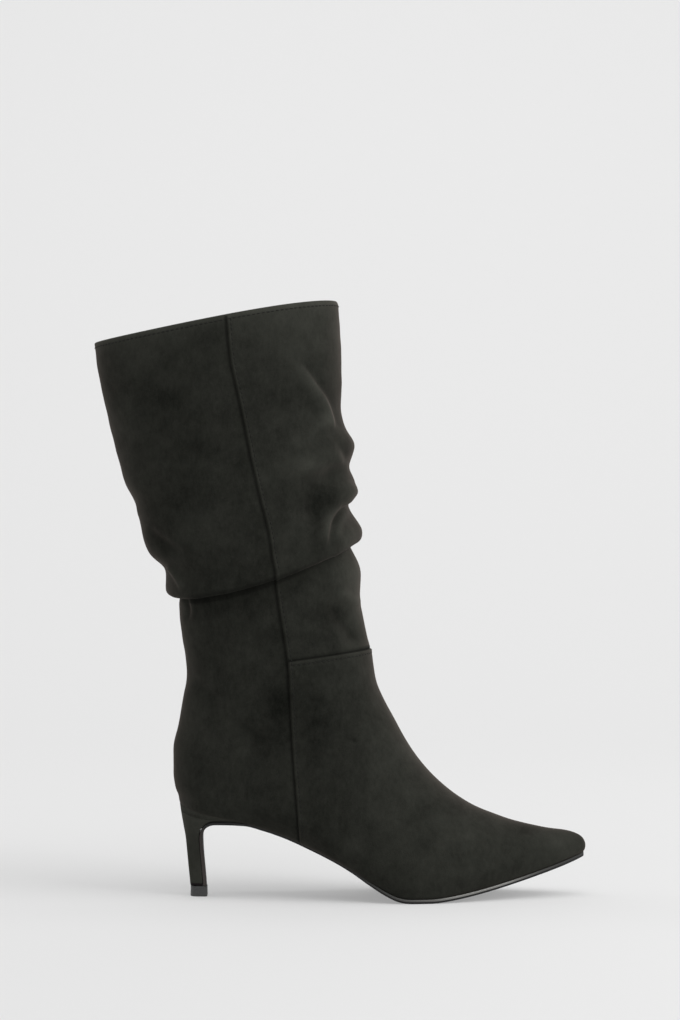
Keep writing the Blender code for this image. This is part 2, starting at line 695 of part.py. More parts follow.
def heel_back(height):
    """Back of the heel block: raked forward to its tip, and standing back under the upper."""
    share = 1.0 - (height - TOP_LIFT_HEIGHT - GAP) / block_height()
    return HEEL_RAKE * share ** RAKE_POWER - HEEL_LEDGE * max(0.0, 1.0 - share / LEDGE_END)


def make_heel():
    side_points = 15
    top = float(heel_top(-HEEL_LEDGE))
    low = TOP_LIFT_HEIGHT + GAP
    points, faces = [], []
    for (up, wide, seat_like), (front, front_height) in zip(HEEL_RINGS, heel_front_points()):
        back_height = low + (top - low) * up
        back = heel_back(back_height)
        share = 0.5 - 0.5 * np.cos(np.linspace(0.0, math.pi, 2 * side_points + 1))[:side_points + 1]
        share = share / share[-1]
        along = back + (front - back) * share
        straight = back_height + (front_height - back_height) * share
        drop_back = heel_top(back) - back_height
        drop_front = heel_top(front) - front_height
        seated = heel_top(along) - drop_back - (drop_front - drop_back) * share
        height = straight + (seated - straight) * seat_like
        length = min(HEEL_ROUND * SOLE_LENGTH, SEAT_POINT * (front - back))
        half = wide * plain_half_width(along) * round_end(along - back, length)
        for side in (-1.0, 1.0):
            start = 0 if side < 0 else 1
            order = range(start, len(along)) if side < 0 else range(len(along) - 1, 0, -1)
            points += [(along[i], side * half[i], height[i]) for i in order]
    count = 2 * side_points + 1
    for ring in range(len(HEEL_RINGS) - 1):
        faces += loop_strip(ring * count, (ring + 1) * count, count)
    for start in (0, (len(HEEL_RINGS) - 1) * count):
        faces.append((start, start + 1, start + count - 1))
        for i in range(1, side_points):
            faces.append((start + i, start + i + 1, start + count - i - 1, start + count - i))
    return add_mesh("heel", points, faces, (0.016, 0.016, 0.014), 0.9)


def make_top_lift():
    """The heel's hard tip: round at the back, square to the front, its foot slightly drawn in."""
    rows = ((0.0, 0.92), (0.12, 1.0), (1.0, 0.97))
    arc = 8
    middle = HEEL_RAKE + 0.5 * TOP_LIFT_LENGTH
    points, faces = [], []
    for up, scale in rows:
        half = 0.5 * TOP_LIFT_WIDTH * scale
        reach = 0.5 * TOP_LIFT_LENGTH * scale
        outline = []
        for turn in np.radians(np.linspace(0.0, 180.0, arc + 1)):
            bulge = TIP_SQUARE + (1.0 - TIP_SQUARE) * math.sin(turn)
            outline.append((middle - reach * bulge, half * math.cos(turn)))
        corner = TIP_CORNER * half
        outline += [(middle + reach - corner, -half), (middle + reach, -half + corner),
                    (middle + reach, half - corner), (middle + reach - corner, half)]
        points += [(x, y, up * TOP_LIFT_HEIGHT) for x, y in outline]
    count = len(outline)
    for ring in range(len(rows) - 1):
        faces += loop_strip(ring * count, (ring + 1) * count, count)
    faces.append(tuple(range(count)))
    faces.append(tuple((len(rows) - 1) * count + i for i in range(count)))
    return add_mesh("top_lift", points, faces, (0.06, 0.06, 0.06), 0.6)


def clear_scene():
    for item in list(bpy.data.objects):
        bpy.data.objects.remove(item, do_unlink=True)


clear_scene()
make_upper()
make_outsole()
make_insole()
make_heel()
make_top_lift()
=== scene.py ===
# Slouch boot for the right foot, in black suede-finish cloth: the looks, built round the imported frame.
# X runs from heel to toe, Y to the inner side of the foot, Z up; sizes are in metres, creases in millimetres.
import math

import bpy
import numpy as np
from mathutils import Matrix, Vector


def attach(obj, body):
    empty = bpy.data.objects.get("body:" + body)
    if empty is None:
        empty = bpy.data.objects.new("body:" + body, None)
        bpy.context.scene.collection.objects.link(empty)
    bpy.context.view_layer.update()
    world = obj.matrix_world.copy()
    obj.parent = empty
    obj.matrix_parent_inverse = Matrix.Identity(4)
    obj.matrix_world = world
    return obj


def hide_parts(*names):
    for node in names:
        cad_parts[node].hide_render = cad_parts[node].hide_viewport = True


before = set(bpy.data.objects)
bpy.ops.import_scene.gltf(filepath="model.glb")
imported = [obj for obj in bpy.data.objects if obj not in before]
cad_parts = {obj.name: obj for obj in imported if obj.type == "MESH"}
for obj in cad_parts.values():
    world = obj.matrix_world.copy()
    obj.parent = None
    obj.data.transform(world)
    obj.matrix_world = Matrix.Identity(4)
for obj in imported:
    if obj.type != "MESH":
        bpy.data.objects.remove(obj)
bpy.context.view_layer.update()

# The last and the upper drawn over it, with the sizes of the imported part
soleLength = 0.2492
ballWidth = 0.0780
heelWidth = 0.0510
heelHeight = 0.0460
seatRise = 0.0090
toeSpring = 0.0245
toeShift = 0.0055
foreSole = 0.0026
shankSole = 0.0018
breastSole = 0.0020
soleEdge = 0.0012
instepRise = 0.1377
quarterRise = 0.0787
ankleLength = 0.1139
ankleBack = 0.0024
ankleWidth = 0.0750
heelCurve = 0.0062
featherCurve = 0.0130
shaftFront = 0.2180
shaftBack = 0.2065
shaftWidth = 0.0950
collarReach = 0.0576
collarLean = 0.0209
sideSag = 0.0090
foldDrop = 0.0085
wall = 0.0018
lastingMargin = 0.0080
gap = 0.0003
seamShare = 0.553           # where the side seam crosses the ankle and the collar, from their backs
soleSeam = 0.291            # and where it meets the sole, as a share of its length
originAlong = 0.5 * (soleLength + ankleBack - collarReach)
ankleFront = ankleBack + ankleLength

# Underside of the sole behind the ball: along, height as a share of the heel's
arch = (
    (0.000, 1.000), (0.104, 1.000), (0.152, 0.988), (0.204, 0.915), (0.249, 0.832),
    (0.313, 0.680), (0.373, 0.522), (0.418, 0.384), (0.460, 0.232), (0.505, 0.086),
    (0.530, 0.026), (0.550, 0.004), (0.565, 0.000),
)
treadEnd = 0.610
springPower = 1.45
forepartShares = (0.38, 0.50)
# Rise of the seat towards the back
seat = (
    (-0.012, 1.114), (0.000, 1.00), (0.042, 0.60), (0.082, 0.41), (0.104, 0.30), (0.132, 0.17),
    (0.152, 0.085), (0.170, 0.025), (0.190, 0.000),
)
# Half widths: along, of half the heel, of half the ball, swell past the feather
outline = (
    (0.00, 1.00, 0.00, 0.07),
    (0.10, 1.00, 0.00, 0.08),
    (0.16, 0.96, 0.00, 0.12),
    (0.23, 0.55, 0.26, 0.18),
    (0.31, 0.30, 0.46, 0.19),
    (0.39, 0.12, 0.67, 0.16),
    (0.46, 0.02, 0.85, 0.11),
    (0.52, 0.00, 0.955, 0.08),
    (0.57, 0.00, 1.00, 0.065),
    (0.62, 0.00, 0.985, 0.06),
    (0.69, 0.00, 0.88, 0.06),
    (0.76, 0.00, 0.73, 0.06),
    (0.83, 0.00, 0.57, 0.055),
    (0.90, 0.00, 0.42, 0.045),
    (1.00, 0.00, 0.27, 0.03),
)
heelRound = 0.105
toeRound = 0.100
# Sideways bend of the last: along, share of the toe's shift
bend = (
    (0.00, 0.00), (0.23, -0.20), (0.40, -0.38), (0.52, -0.30), (0.62, 0.05),
    (0.74, 0.45), (0.88, 0.80), (1.00, 1.00),
)
# Front of each ring of the foot: along, rise as a share of the instep's
ridge = (
    (0.9944, 0.000), (1.0000, 0.020), (0.9964, 0.050), (0.9850, 0.079), (0.9551, 0.117),
    (0.9149, 0.151), (0.8668, 0.196), (0.8186, 0.243), (0.7705, 0.296), (0.7263, 0.347),
    (0.6862, 0.404), (0.6481, 0.466), (0.6120, 0.534), (0.5811, 0.601), (0.5515, 0.680),
    (0.5237, 0.760), (0.4986, 0.822), (0.4798, 0.879), (0.4700, 0.945),
)
toeRings = 3
# Back of the foot: share of the quarter's rise, swell behind the seat
heelBack = (
    (0.00, 0.34), (0.05, 0.48), (0.11, 0.76), (0.24, 1.00), (0.42, 1.00),
    (0.62, 0.48), (0.84, 0.02), (1.00, -0.387),
)
# The side seam up the shaft: level from ankle to collar, share of its way back
sideSeam = (
    (0.000, 0.000), (0.245, 0.178), (0.287, 0.200), (0.342, 0.240), (0.404, 0.312),
    (0.573, 0.560), (0.745, 0.770), (0.887, 0.945), (1.000, 1.000),
)
# Rings of the shaft: up back, up front, back, front, width, sag, skew
lowerShaft = (
    (0.012, 0.014, 0.005, 0.035, 0.787, 0.00, 0.00),
    (0.053, 0.048, 0.021, 0.129, 0.779, 0.05, 0.01),
    (0.107, 0.099, 0.050, 0.244, 0.779, 0.20, 0.03),
    (0.157, 0.151, 0.075, 0.359, 0.787, 0.45, 0.07),
    (0.194, 0.211, 0.085, 0.330, 0.800, 0.75, 0.11),
    (0.223, 0.262, 0.089, 0.410, 0.808, 0.95, 0.14),
)
foldEdge = (0.2450, 0.3200, 1.00, 0.15)     # up back, up front, sag and skew of the fold's lowest line
foldRoot = (0.087, 0.660, 0.810)            # back, front, width where the tuck goes in
foldLip = (0.229, 0.287, 0.989)             # and of the roll that hangs over it
# The tuck: out from root to lip, up from the edge as a share of the drop
tuck = (
    (0.00, -0.30), (0.00, 0.45), (0.04, 0.82), (0.11, 0.93), (0.17, 0.78),
    (0.21, 0.38), (0.34, 0.08), (0.58, 0.00), (0.83, 0.10), (1.00, 0.50),
)
upperShaft = (
    (0.312, 0.365, 0.231, 0.345, 0.996, 0.95, 0.14),
    (0.344, 0.397, 0.307, 0.584, 1.000, 0.85, 0.13),
    (0.375, 0.429, 0.420, 0.732, 1.000, 0.70, 0.10),
    (0.421, 0.454, 0.477, 0.579, 0.998, 0.55, 0.08),
    (0.479, 0.479, 0.514, 0.493, 0.994, 0.45, 0.07),
    (0.528, 0.507, 0.568, 0.593, 0.989, 0.35, 0.05),
    (0.571, 0.534, 0.655, 0.670, 0.985, 0.25, 0.04),
    (0.615, 0.566, 0.707, 0.569, 0.981, 0.20, 0.03),
    (0.666, 0.596, 0.753, 0.522, 0.977, 0.10, 0.01),
    (0.722, 0.632, 0.806, 0.720, 0.968, 0.00, 0.00),
    (0.780, 0.680, 0.858, 0.904, 0.960, 0.00, 0.00),
    (0.838, 0.762, 0.903, 0.890, 0.948, -0.05, 0.10),
    (0.896, 0.839, 0.943, 0.904, 0.939, -0.10, 0.20),
    (0.954, 0.920, 0.979, 0.943, 0.931, -0.10, 0.20),
    (1.000, 1.000, 1.000, 1.000, 0.926, -0.10, 0.20),
)
# How the sections are rounded: the shaft's oval, and the foot's peak from the instep to the toe
shaftRound = 2.12
ankleRound = 0.165
peakPower = 1.5
toePower = 2.2
toePowerFrom = 0.5
toePowerOver = 0.4
toeFace = 0.82
ovalFrom = 6                # the ring of the foot from which it turns into the ankle's oval
crownClimb = 4.0            # how steeply the crown goes on climbing behind the ankle's front
sagPower = 1.4
marginPull = 2.2            # how far the turned-in cloth draws in at its ends, in margins
marginLimit = 0.42          # and the most that it turns in, as a share of the half width
onCentre = 1e-7             # points nearer to the centre line than this lie on it
densePoints = 361           # points on each side of a ring before it is cut into columns
millimetre = 0.001
perMetre = 1000.0

# Rows of the grid: the lasting margin, the foot, the lower shaft, the tuck and the upper shaft
ankleRow = 1 + len(ridge)
tuckRow = ankleRow + len(lowerShaft)
lipRow = tuckRow + len(tuck)
collarRow = lipRow + len(upperShaft) - 1


def smooth(table, column, x):
    # A monotone cubic through one column of a table, so that flat stretches stay flat
    rows = np.array(table, dtype=float)
    xs, ys = rows[:, 0], rows[:, column]
    step = np.diff(xs)
    slope = np.diff(ys) / step
    tangent = np.zeros(len(xs))
    tangent[0], tangent[-1] = slope[0], slope[-1]
    same = slope[:-1] * slope[1:] > 0.0
    weightA = 2.0 * step[1:] + step[:-1]
    weightB = step[1:] + 2.0 * step[:-1]
    safeA = np.where(same, slope[:-1], 1.0)
    safeB = np.where(same, slope[1:], 1.0)
    tangent[1:-1] = np.where(same, (weightA + weightB) / (weightA / safeA + weightB / safeB), 0.0)
    x = np.clip(np.asarray(x, dtype=float), xs[0], xs[-1])
    i = np.clip(np.searchsorted(xs, x) - 1, 0, len(xs) - 2)
    u = (x - xs[i]) / step[i]
    return (ys[i] * (1 + 2 * u) * (1 - u) ** 2 + ys[i + 1] * u * u * (3 - 2 * u)
            + step[i] * u * (1 - u) * (tangent[i] * (1 - u) - tangent[i + 1] * u))


def ease(x):
    # A smooth step: three squares less two cubes
    u = np.clip(x, 0.0, 1.0)
    return u * u * (3 - 2 * u)


def ramp(x, start, over):
    # A smooth step that begins at start and is complete over a distance
    return ease((x - start) / over)


def bell(distance, reach):
    # 1 at no distance, falling as e to the minus square of distance over reach
    return np.exp(-(distance / reach) ** 2)


def shareOf(along):
    # A place along the sole as a share of its length
    return np.asarray(along, dtype=float) / soleLength


def soleBottom(along):
    # The arch behind the ball, flat tread under it, and a spring that grows as a power of the way to the toe
    share = shareOf(along)
    curl = np.clip((share - treadEnd) / (1 - treadEnd), 0.0, 1.0)
    return heelHeight * smooth(arch, 1, share) + toeSpring * curl ** springPower


def forepart(along):
    # 0 under the shank, 1 from the ball forward
    return ease((shareOf(along) - forepartShares[0]) / (forepartShares[1] - forepartShares[0]))


def soleThickness(along):
    # Thin under the shank, thicker from the ball forward
    return shankSole + (foreSole - shankSole) * forepart(along)


def featherHeight(along):
    # Where the upper meets the sole: the sole's top, and the seat's rise towards the back
    return soleBottom(along) + soleThickness(along) + gap + seatRise * smooth(seat, 1, shareOf(along))


def centreLine(along):
    # How far the last bends to the inner side
    return toeShift * smooth(bend, 1, shareOf(along))


def plainHalfWidth(along):
    # A share of the heel's half width and a share of the ball's, before the ends are rounded
    share = shareOf(along)
    return 0.5 * (heelWidth * smooth(outline, 1, share) + ballWidth * smooth(outline, 2, share))


def swell(along):
    # How far the foot bulges past its feather line
    return 0.5 * ballWidth * smooth(outline, 3, shareOf(along))


def roundEnd(distance, reach):
    # A quarter of an ellipse: the root of u times two less u
    u = np.clip(distance / reach, 0.0, 1.0)
    return np.sqrt(u * (2.0 - u))


def featherHalfWidth(along, tip=soleLength):
    # The plain half width, rounded off at the heel and at the toe
    return (plainHalfWidth(along) * roundEnd(along, heelRound * soleLength)
            * roundEnd(tip - along, toeRound * soleLength))


def crown(along):
    # How high the foot stands over its feather line: the ridge, and a straight climb behind the ankle's front
    rows = np.array([*ridge[toeRings:], (ankleFront / soleLength, 1.0)])[::-1]
    share = shareOf(along)
    climb = crownClimb * np.clip(rows[0, 0] - share, 0.0, None) * soleLength
    return instepRise * smooth(rows, 1, share) + climb


def oval(turn):
    # Half width of an oval as its angle turns from back to front: one less the cosine's power, and its root
    return (1 - np.abs(np.cos(turn)) ** shaftRound) ** (1 / shaftRound)


def denseSides(back, front, shape):
    # One ring as two lines from the back to the front: outer side, then inner side
    turn = np.linspace(0.0, math.pi, densePoints)
    along = back + (front - back) * 0.5 * (1.0 - np.cos(turn))
    half, height, middle = shape(along, turn)
    half[0] = half[-1] = 0.0
    return [np.column_stack((along, middle + side * half, height)) for side in (-1.0, 1.0)]


def seamOf(back, front):
    # Where the side seam crosses a ring: one share of the way from its back to its front
    return back + seamShare * (front - back)


def footRing(index):
    # One ring of the foot. Low rings follow the feather line and high ones run straight from back to front.
    # Its half width is the sole's, swollen above the feather line, times a section that narrows to the peak
    # as one less a power of the fill, and its root. The last rings turn into the ankle's oval.
    count = len(ridge)
    level = index / count
    front = ridge[index][0] * soleLength
    frontRise = ridge[index][1] * instepRise
    back = -heelCurve * float(smooth(heelBack, 1, level))
    backRise = level * quarterRise
    tip = front if index < toeRings else soleLength

    def shape(along, turn):
        t = (along - back) / (front - back)
        base = featherHeight(along)
        nested = base + backRise + (frontRise - backRise) * t
        ends = featherHeight(np.array([back, front]))
        straight = (ends[0] + backRise) * (1 - t) + (ends[1] + frontRise) * t
        height = nested + (straight - nested) * ease(level)
        lift = np.sin(0.5 * math.pi * np.clip((height - base) / featherCurve, 0.0, 1.0))
        body = plainHalfWidth(along) + swell(along) * lift
        body = body * roundEnd(along - back, (heelRound + (ankleRound - heelRound) * level) * soleLength)
        body = body * roundEnd(tip - along, toeRound * soleLength)
        fill = np.clip((height - base) / crown(along), 0.0, 1.0)
        power = peakPower + (toePower - peakPower) * ramp(along / soleLength, toePowerFrom, toePowerOver)
        lean = toeFace if index < toeRings else 1.0
        section = np.sqrt(np.clip(1.0 - (lean * fill) ** power, 0.0, 1.0))
        share = ease((index - ovalFrom) / (count - ovalFrom))
        half = body * section * (1 - share) + 0.5 * ankleWidth * oval(turn) * share
        return half, height, centreLine(along) * (1 - share)

    seam = soleSeam * soleLength + level * (seamOf(ankleBack, ankleFront) - soleSeam * soleLength)
    return denseSides(back, front, shape), seam


def shaftSeam(upBack, upFront):
    # The side seam runs straight up the shaft, whatever its folds do
    ankle = seamOf(ankleBack, ankleFront)
    collar = seamOf(ankleBack - collarReach, ankleFront - collarLean)
    return ankle + (collar - ankle) * float(smooth(sideSeam, 1, upBack + seamShare * (upFront - upBack)))


def shaftRing(upBack, upFront, back, front, width, sag, skew, lift=0.0):
    # One ring of the shaft: an oval from its back to its front point, whose sides sag as a power of the sine
    xBack = ankleBack - back * collarReach
    xFront = ankleFront - front * collarLean
    zBack = float(featherHeight(0.0)) + quarterRise + upBack * shaftBack + lift
    zFront = float(featherHeight(ankleFront)) + instepRise + upFront * shaftFront + lift

    def shape(along, turn):
        droop = sideSag * np.sin(turn) ** sagPower * (sag + skew * np.cos(turn))
        t = (along - xBack) / (xFront - xBack)
        return 0.5 * shaftWidth * width * oval(turn), zBack + (zFront - zBack) * t - droop, 0.0 * along

    return denseSides(xBack, xFront, shape), shaftSeam(upBack, upFront)


def foldRing(out, up):
    # One ring of the tuck, a share of the way out from the fold's root to its lip
    back, front, width = (r + out * (l - r) for r, l in zip(foldRoot, foldLip))
    upBack, upFront, sag, skew = foldEdge
    return shaftRing(upBack, upFront, back, front, width, sag, skew, lift=up * foldDrop)


# How finely the grid is cut: columns on each side, rows by their spacing, and close lines by the seams
cut = {
    "rearColumns": 44,
    "foreColumns": 84,
    "byLength": 0.55,           # columns are spaced partly by the ring's length and partly by its points
    "byPoints": 0.45,
    "rowStep": 0.00155,
    "leastRows": 3,
    "rowClearance": 0.4,        # a row nearer to a close line than this share of a step is left out
    "seamLines": (0.0004, 0.0009, 0.0015, 0.0022, 0.0028, 0.0036),
    "ankleLines": (-0.0030, -0.0022, -0.0015, -0.0008, -0.0003, 0.0002, 0.0007, 0.0015),
}


def arcLengths(line):
    # The length of a line up to each of its points
    return np.concatenate(([0.0], np.cumsum(np.linalg.norm(np.diff(line, axis=0), axis=1))))


def pointsAt(wanted, measure, line):
    # Points of a line, or normals along it, read where a measure that grows along it has the wanted values
    return np.column_stack([np.interp(wanted, measure, line[:, axis]) for axis in range(3)])


def stopsOn(line, count, close):
    # Points along a line that starts at the seam: close lines first, then partly even and partly crowded ones
    lengths = arcLengths(line)
    measure = cut["byLength"] * lengths / lengths[-1] + cut["byPoints"] * np.linspace(0.0, 1.0, len(line))
    last = float(np.interp(close[-1], lengths, measure))
    near = np.interp((0.0, *close), lengths, measure)
    far = last + (1.0 - last) * np.linspace(0.0, 1.0, count + 1)[1:]
    return pointsAt(np.concatenate((near, far)), measure, line)


def ringColumns(sides, seam, rear, fore, close):
    # Columns of a ring from the back by the outer seam to the front, and back by the inner seam
    halves = []
    for side in sides:
        place = np.interp(seam, side[:, 0], np.arange(len(side)))
        point = pointsAt([place], np.arange(len(side)), side)
        behind = np.vstack((side[:int(place) + (place > int(place))], point))[::-1]
        ahead = np.vstack((point, side[int(place) + 1:]))
        halves.append(np.vstack((stopsOn(behind, rear, close)[:0:-1], stopsOn(ahead, fore, close))))
    outer, inner = halves
    return np.vstack((outer, inner[-2:0:-1]))


def marginRing(feather):
    # Inner edge of the cloth turned in under the insole
    middle = 0.5 * soleLength
    along = middle + (feather[:, 0] - middle) * (1 - marginPull * lastingMargin / soleLength)
    half = featherHalfWidth(along)
    inset = np.minimum(lastingMargin, marginLimit * half)
    offset = feather[:, 1] - centreLine(feather[:, 0])
    side = np.where(np.abs(offset) < onCentre, 0.0, np.sign(offset))
    return np.column_stack((along, centreLine(along) + side * (half - inset), featherHeight(along)))


def coarseRings(rear, fore, close):
    # All rings from the lasting margin to the collar, moved so that X is 0 in the boot's middle
    rows = [footRing(i) for i in range(len(ridge))]
    rows += [shaftRing(*row) for row in lowerShaft]
    rows += [foldRing(*row) for row in tuck]
    rows += [shaftRing(*row) for row in upperShaft]
    rings = [ringColumns(sides, seam, rear, fore, close) for sides, seam in rows]
    grid = np.array([marginRing(rings[0])] + rings)
    grid[:, :, 0] -= originAlong
    return grid


def splineRows(grid, wanted):
    # A natural cubic spline through the rows of a grid, read at row numbers that may be fractions
    step = np.mean(np.linalg.norm(np.diff(grid, axis=0), axis=2), axis=1)
    knots = np.concatenate(([0.0], np.cumsum(step)))
    count = len(knots)
    left = np.eye(count)
    right = np.zeros((count, *grid.shape[1:]))
    slope = np.diff(grid, axis=0) / step[:, None, None]
    inside = np.arange(1, count - 1)
    left[inside, inside] = 2.0 * (step[:-1] + step[1:])
    left[inside, inside - 1] = step[:-1]
    left[inside, inside + 1] = step[1:]
    right[1:-1] = 6.0 * np.diff(slope, axis=0)
    curve = np.linalg.solve(left, right.reshape(count, -1)).reshape(right.shape)
    place = np.interp(wanted, np.arange(count), knots)
    i = np.clip(np.searchsorted(knots, place, side="right") - 1, 0, count - 2)
    a = ((knots[i + 1] - place) / step[i])[:, None, None]
    b = 1.0 - a
    square = (step[i] ** 2 / 6.0)[:, None, None]
    return a * grid[i] + b * grid[i + 1] + ((a ** 3 - a) * curve[i] + (b ** 3 - b) * curve[i + 1]) * square


def rowPlaces(grid):
    # Row numbers for the fine grid, crowded round the ankle seam
    step = np.mean(np.linalg.norm(np.diff(grid, axis=0), axis=2), axis=1)
    places = []
    for row, length in enumerate(step):
        count = max(cut["leastRows"], round(length / cut["rowStep"]))
        places += list(row + np.arange(count) / count)
    places.append(len(step))
    below, above = step[ankleRow - 1], step[ankleRow]
    lines = [ankleRow + d / (below if d < 0 else above) for d in cut["ankleLines"]]
    spacing = cut["rowClearance"] * cut["rowStep"] / below
    kept = [p for p in places if min(abs(p - line) for line in lines) > spacing or p in (0, len(step))]
    return np.array(sorted(kept + lines))


def unitNormals(grid):
    # Outward normals of a grid whose columns close round
    around = np.roll(grid, -1, axis=1) - np.roll(grid, 1, axis=1)
    rise = np.gradient(grid, axis=0)
    normal = np.cross(around, rise)
    return normal / np.linalg.norm(normal, axis=2, keepdims=True)


def newPiece(name, points, faces, *materials):
    # A smooth mesh that has its place in its points
    mesh = bpy.data.meshes.new(name)
    mesh.from_pydata(np.asarray(points).tolist(), [], faces)
    mesh.update()
    mesh.shade_smooth()
    piece = bpy.data.objects.new(name, mesh)
    bpy.context.scene.collection.objects.link(piece)
    for material in materials:
        mesh.materials.append(material)
    return piece


def gridFaces(rows, columns):
    # Four-sided faces of a grid, row by row, closed round its columns
    row = np.arange(rows - 1)[:, None] * columns
    here = np.arange(columns)[None, :]
    there = (here + 1) % columns
    corners = (row + here, row + there, row + columns + there, row + columns + here)
    return np.stack(corners, axis=2).reshape(-1, 4)


def addFloats(piece, name, values):
    # One number for each point, which a material reads by its name
    piece.data.attributes.new(name, "FLOAT", "POINT").data.foreach_set("value", np.ravel(values))


# Shader maths written as plain expressions: each operator adds one Math node
class Wire:
    def __init__(self, shade, socket):
        self.shade = shade
        self.socket = socket

    def maths(self, operation, *values, clamp=False):
        made = self.shade.tree.nodes.new("ShaderNodeMath")
        made.operation = operation
        made.use_clamp = clamp
        for socket, value in zip(made.inputs, values):
            self.shade.plug(socket, value)
        return Wire(self.shade, made.outputs[0])

    def __add__(self, other):
        return self.maths("ADD", self, other)

    def __sub__(self, other):
        return self.maths("SUBTRACT", self, other)

    def __mul__(self, other):
        return self.maths("MULTIPLY", self, other)

    def __truediv__(self, other):
        return self.maths("DIVIDE", self, other)

    def __pow__(self, other):
        return self.maths("POWER", self, other)

    def __radd__(self, other):
        return self.maths("ADD", other, self)

    def __rsub__(self, other):
        return self.maths("SUBTRACT", other, self)

    def __rmul__(self, other):
        return self.maths("MULTIPLY", other, self)

    def __rtruediv__(self, other):
        return self.maths("DIVIDE", other, self)

    def held(self):
        return self.maths("ADD", self, 0.0, clamp=True)

    def wave(self):
        return self.maths("SINE", self)

    def above(self, low, high):
        # 0 under low, 1 over high, in a straight line between
        return ((self - low) / (high - low)).held()


class Shade:
    def __init__(self, name, **constants):
        self.material = bpy.data.materials.new(name)
        self.material.use_nodes = True
        self.tree = self.material.node_tree
        self.surface = self.tree.nodes["Principled BSDF"]
        for key, value in constants.items():
            self.surface.inputs[key.replace("_", " ")].default_value = value
        self.place = self.node("TexCoord", {}, {}, "Object")

    def plug(self, socket, value):
        if isinstance(value, Wire):
            self.tree.links.new(value.socket, socket)
        else:
            socket.default_value = value

    def node(self, kind, settings, values, output=0):
        # Any node: its type, its settings, and what goes into its sockets
        made = self.tree.nodes.new("ShaderNode" + kind)
        for key, value in settings.items():
            setattr(made, key, value)
        for key, value in values.items():
            self.plug(made.inputs[key], value)
        return Wire(self, made.outputs[output])

    def stretched(self, scale):
        return self.node("VectorMath", {"operation": "MULTIPLY"}, {0: self.place, 1: scale})

    def noise(self, scale, detail=2.0, roughness=0.5, place=None):
        values = {"Vector": place or self.place, "Scale": scale, "Detail": detail, "Roughness": roughness}
        return self.node("TexNoise", {}, values)

    def along(self, axis):
        return self.node("SeparateXYZ", {}, {"Vector": self.place}, axis)

    def read(self, name):
        return self.node("Attribute", {"attribute_name": name}, {}, "Fac")

    def mixed(self, factor, first, second):
        # Sockets 0, 6 and 7 of a colour Mix are its factor and two colours; its colour comes out at 2
        values = {0: factor}
        for socket, colour in ((6, first), (7, second)):
            values[socket] = (*colour, 1.0) if isinstance(colour, tuple) else colour
        return self.node("Mix", {"data_type": "RGBA"}, values, 2)

    def toned(self, middle, patterns, strengths):
        # A middle tone, raised and lowered by each pattern by its own strength
        tone = middle
        for pattern, strength in zip(patterns, strengths):
            tone = (pattern - 0.5) * strength + tone
        return tone.held()

    def bump(self, height, strength, distance):
        return self.node("Bump", {}, {"Height": height, "Strength": strength, "Distance": distance}, "Normal")

    def into(self, **sockets):
        for key, value in sockets.items():
            self.plug(self.surface.inputs[key.replace("_", " ")], value)
        return self.material


# The nap: near black, cloudy in patches a few centimetres wide, mottled down to single tufts
nap = {
    "dark": (0.0050, 0.0056, 0.0044),
    "light": (0.0500, 0.0510, 0.0430),
    # Painted sheen: the pale warm colour that the nap turns to as its surface turns from the eye
    "edge": (0.152, 0.128, 0.113),
    # Painted shadow: the colour under the fold, behind lapped edges and at the heel's seat
    "paintedShadow": (0.0030, 0.0031, 0.0027),
    "sheen": 0.015,
    "sheenTint": (1.0, 0.90, 0.84, 1.0),
    "tone": 0.31,
    "cloud": {"scale": 24.0, "detail": 3.0, "roughness": 0.55},
    "patch": {"scale": 85.0, "detail": 3.0, "roughness": 0.6},
    "brush": {"scale": 420.0, "detail": 3.0, "roughness": 0.65},
    "tuft": {"scale": 1900.0, "detail": 2.0, "roughness": 0.6},
    "strengths": (0.5, 0.42, 0.3, 0.3),     # of the cloud, patch, brush and tuft
    "stretch": (1.0, 1.0, 0.55),            # the brush marks run up the boot
    "rimPower": 2.15,
    "rimCut": 2.4,                          # how fast the painted sheen at the rim goes where painted shadow lies
    "bump": 0.45,
}
threadLook = {
    "dark": (0.008, 0.008, 0.007),
    "light": (0.020, 0.020, 0.018),
    "twist": 2600.0,
}
liningLook = {
    "dark": (0.016, 0.015, 0.014),
    "light": (0.050, 0.046, 0.042),
    "tone": 0.64,
    "strengths": (0.4, 0.18),
    "rib": 5200.0,
    "slant": 0.6,
    "cloud": 60.0,
}


def nappedShade(name, stretch):
    # A shade with what every piece with a nap shares: three sizes of mottling, how far a surface turns away
    # from the eye, and the height of its tufts
    shade = Shade(name, Roughness=0.95, Sheen_Weight=nap["sheen"], Sheen_Roughness=0.5,
                  Sheen_Tint=nap["sheenTint"], Specular_IOR_Level=0.03)
    patch = shade.noise(**nap["patch"])
    brush = shade.noise(**nap["brush"], place=shade.stretched(stretch))
    tuft = shade.noise(**nap["tuft"])
    facing = shade.node("LayerWeight", {}, {"Blend": 0.25}, "Facing")
    return shade, patch, brush, tuft, facing, brush * 0.6 + tuft * 0.4


def suedeMaterial(name):
    shade, patch, brush, tuft, facing, height = nappedShade(name, nap["stretch"])
    cloud = shade.noise(**nap["cloud"])
    # The nap's tone: a middle one with the painted light and shade from the points added, and each size of
    # mottling by its own strength
    middle = nap["tone"] + shade.read("paintedLight")
    tone = shade.toned(middle, (cloud, patch, brush, tuft), nap["strengths"])
    body = shade.mixed(tone, nap["dark"], nap["light"])
    # Painted shadow, carried in the points' tucked attribute, darkens the colour to the shadow colour
    tucked = shade.read("tucked")
    # Painted sheen: the pale edge colour comes in as the surface turns from the eye, less where painted
    # shadow lies
    rim = (facing ** nap["rimPower"] * (1.0 - tucked * nap["rimCut"]).held()).held()
    colour = shade.mixed(tucked, shade.mixed(rim, body, nap["edge"]), nap["paintedShadow"])
    return shade.into(Base_Color=colour, Roughness=0.86 + tuft * 0.14,
                      Normal=shade.bump(height, nap["bump"], 0.0004))


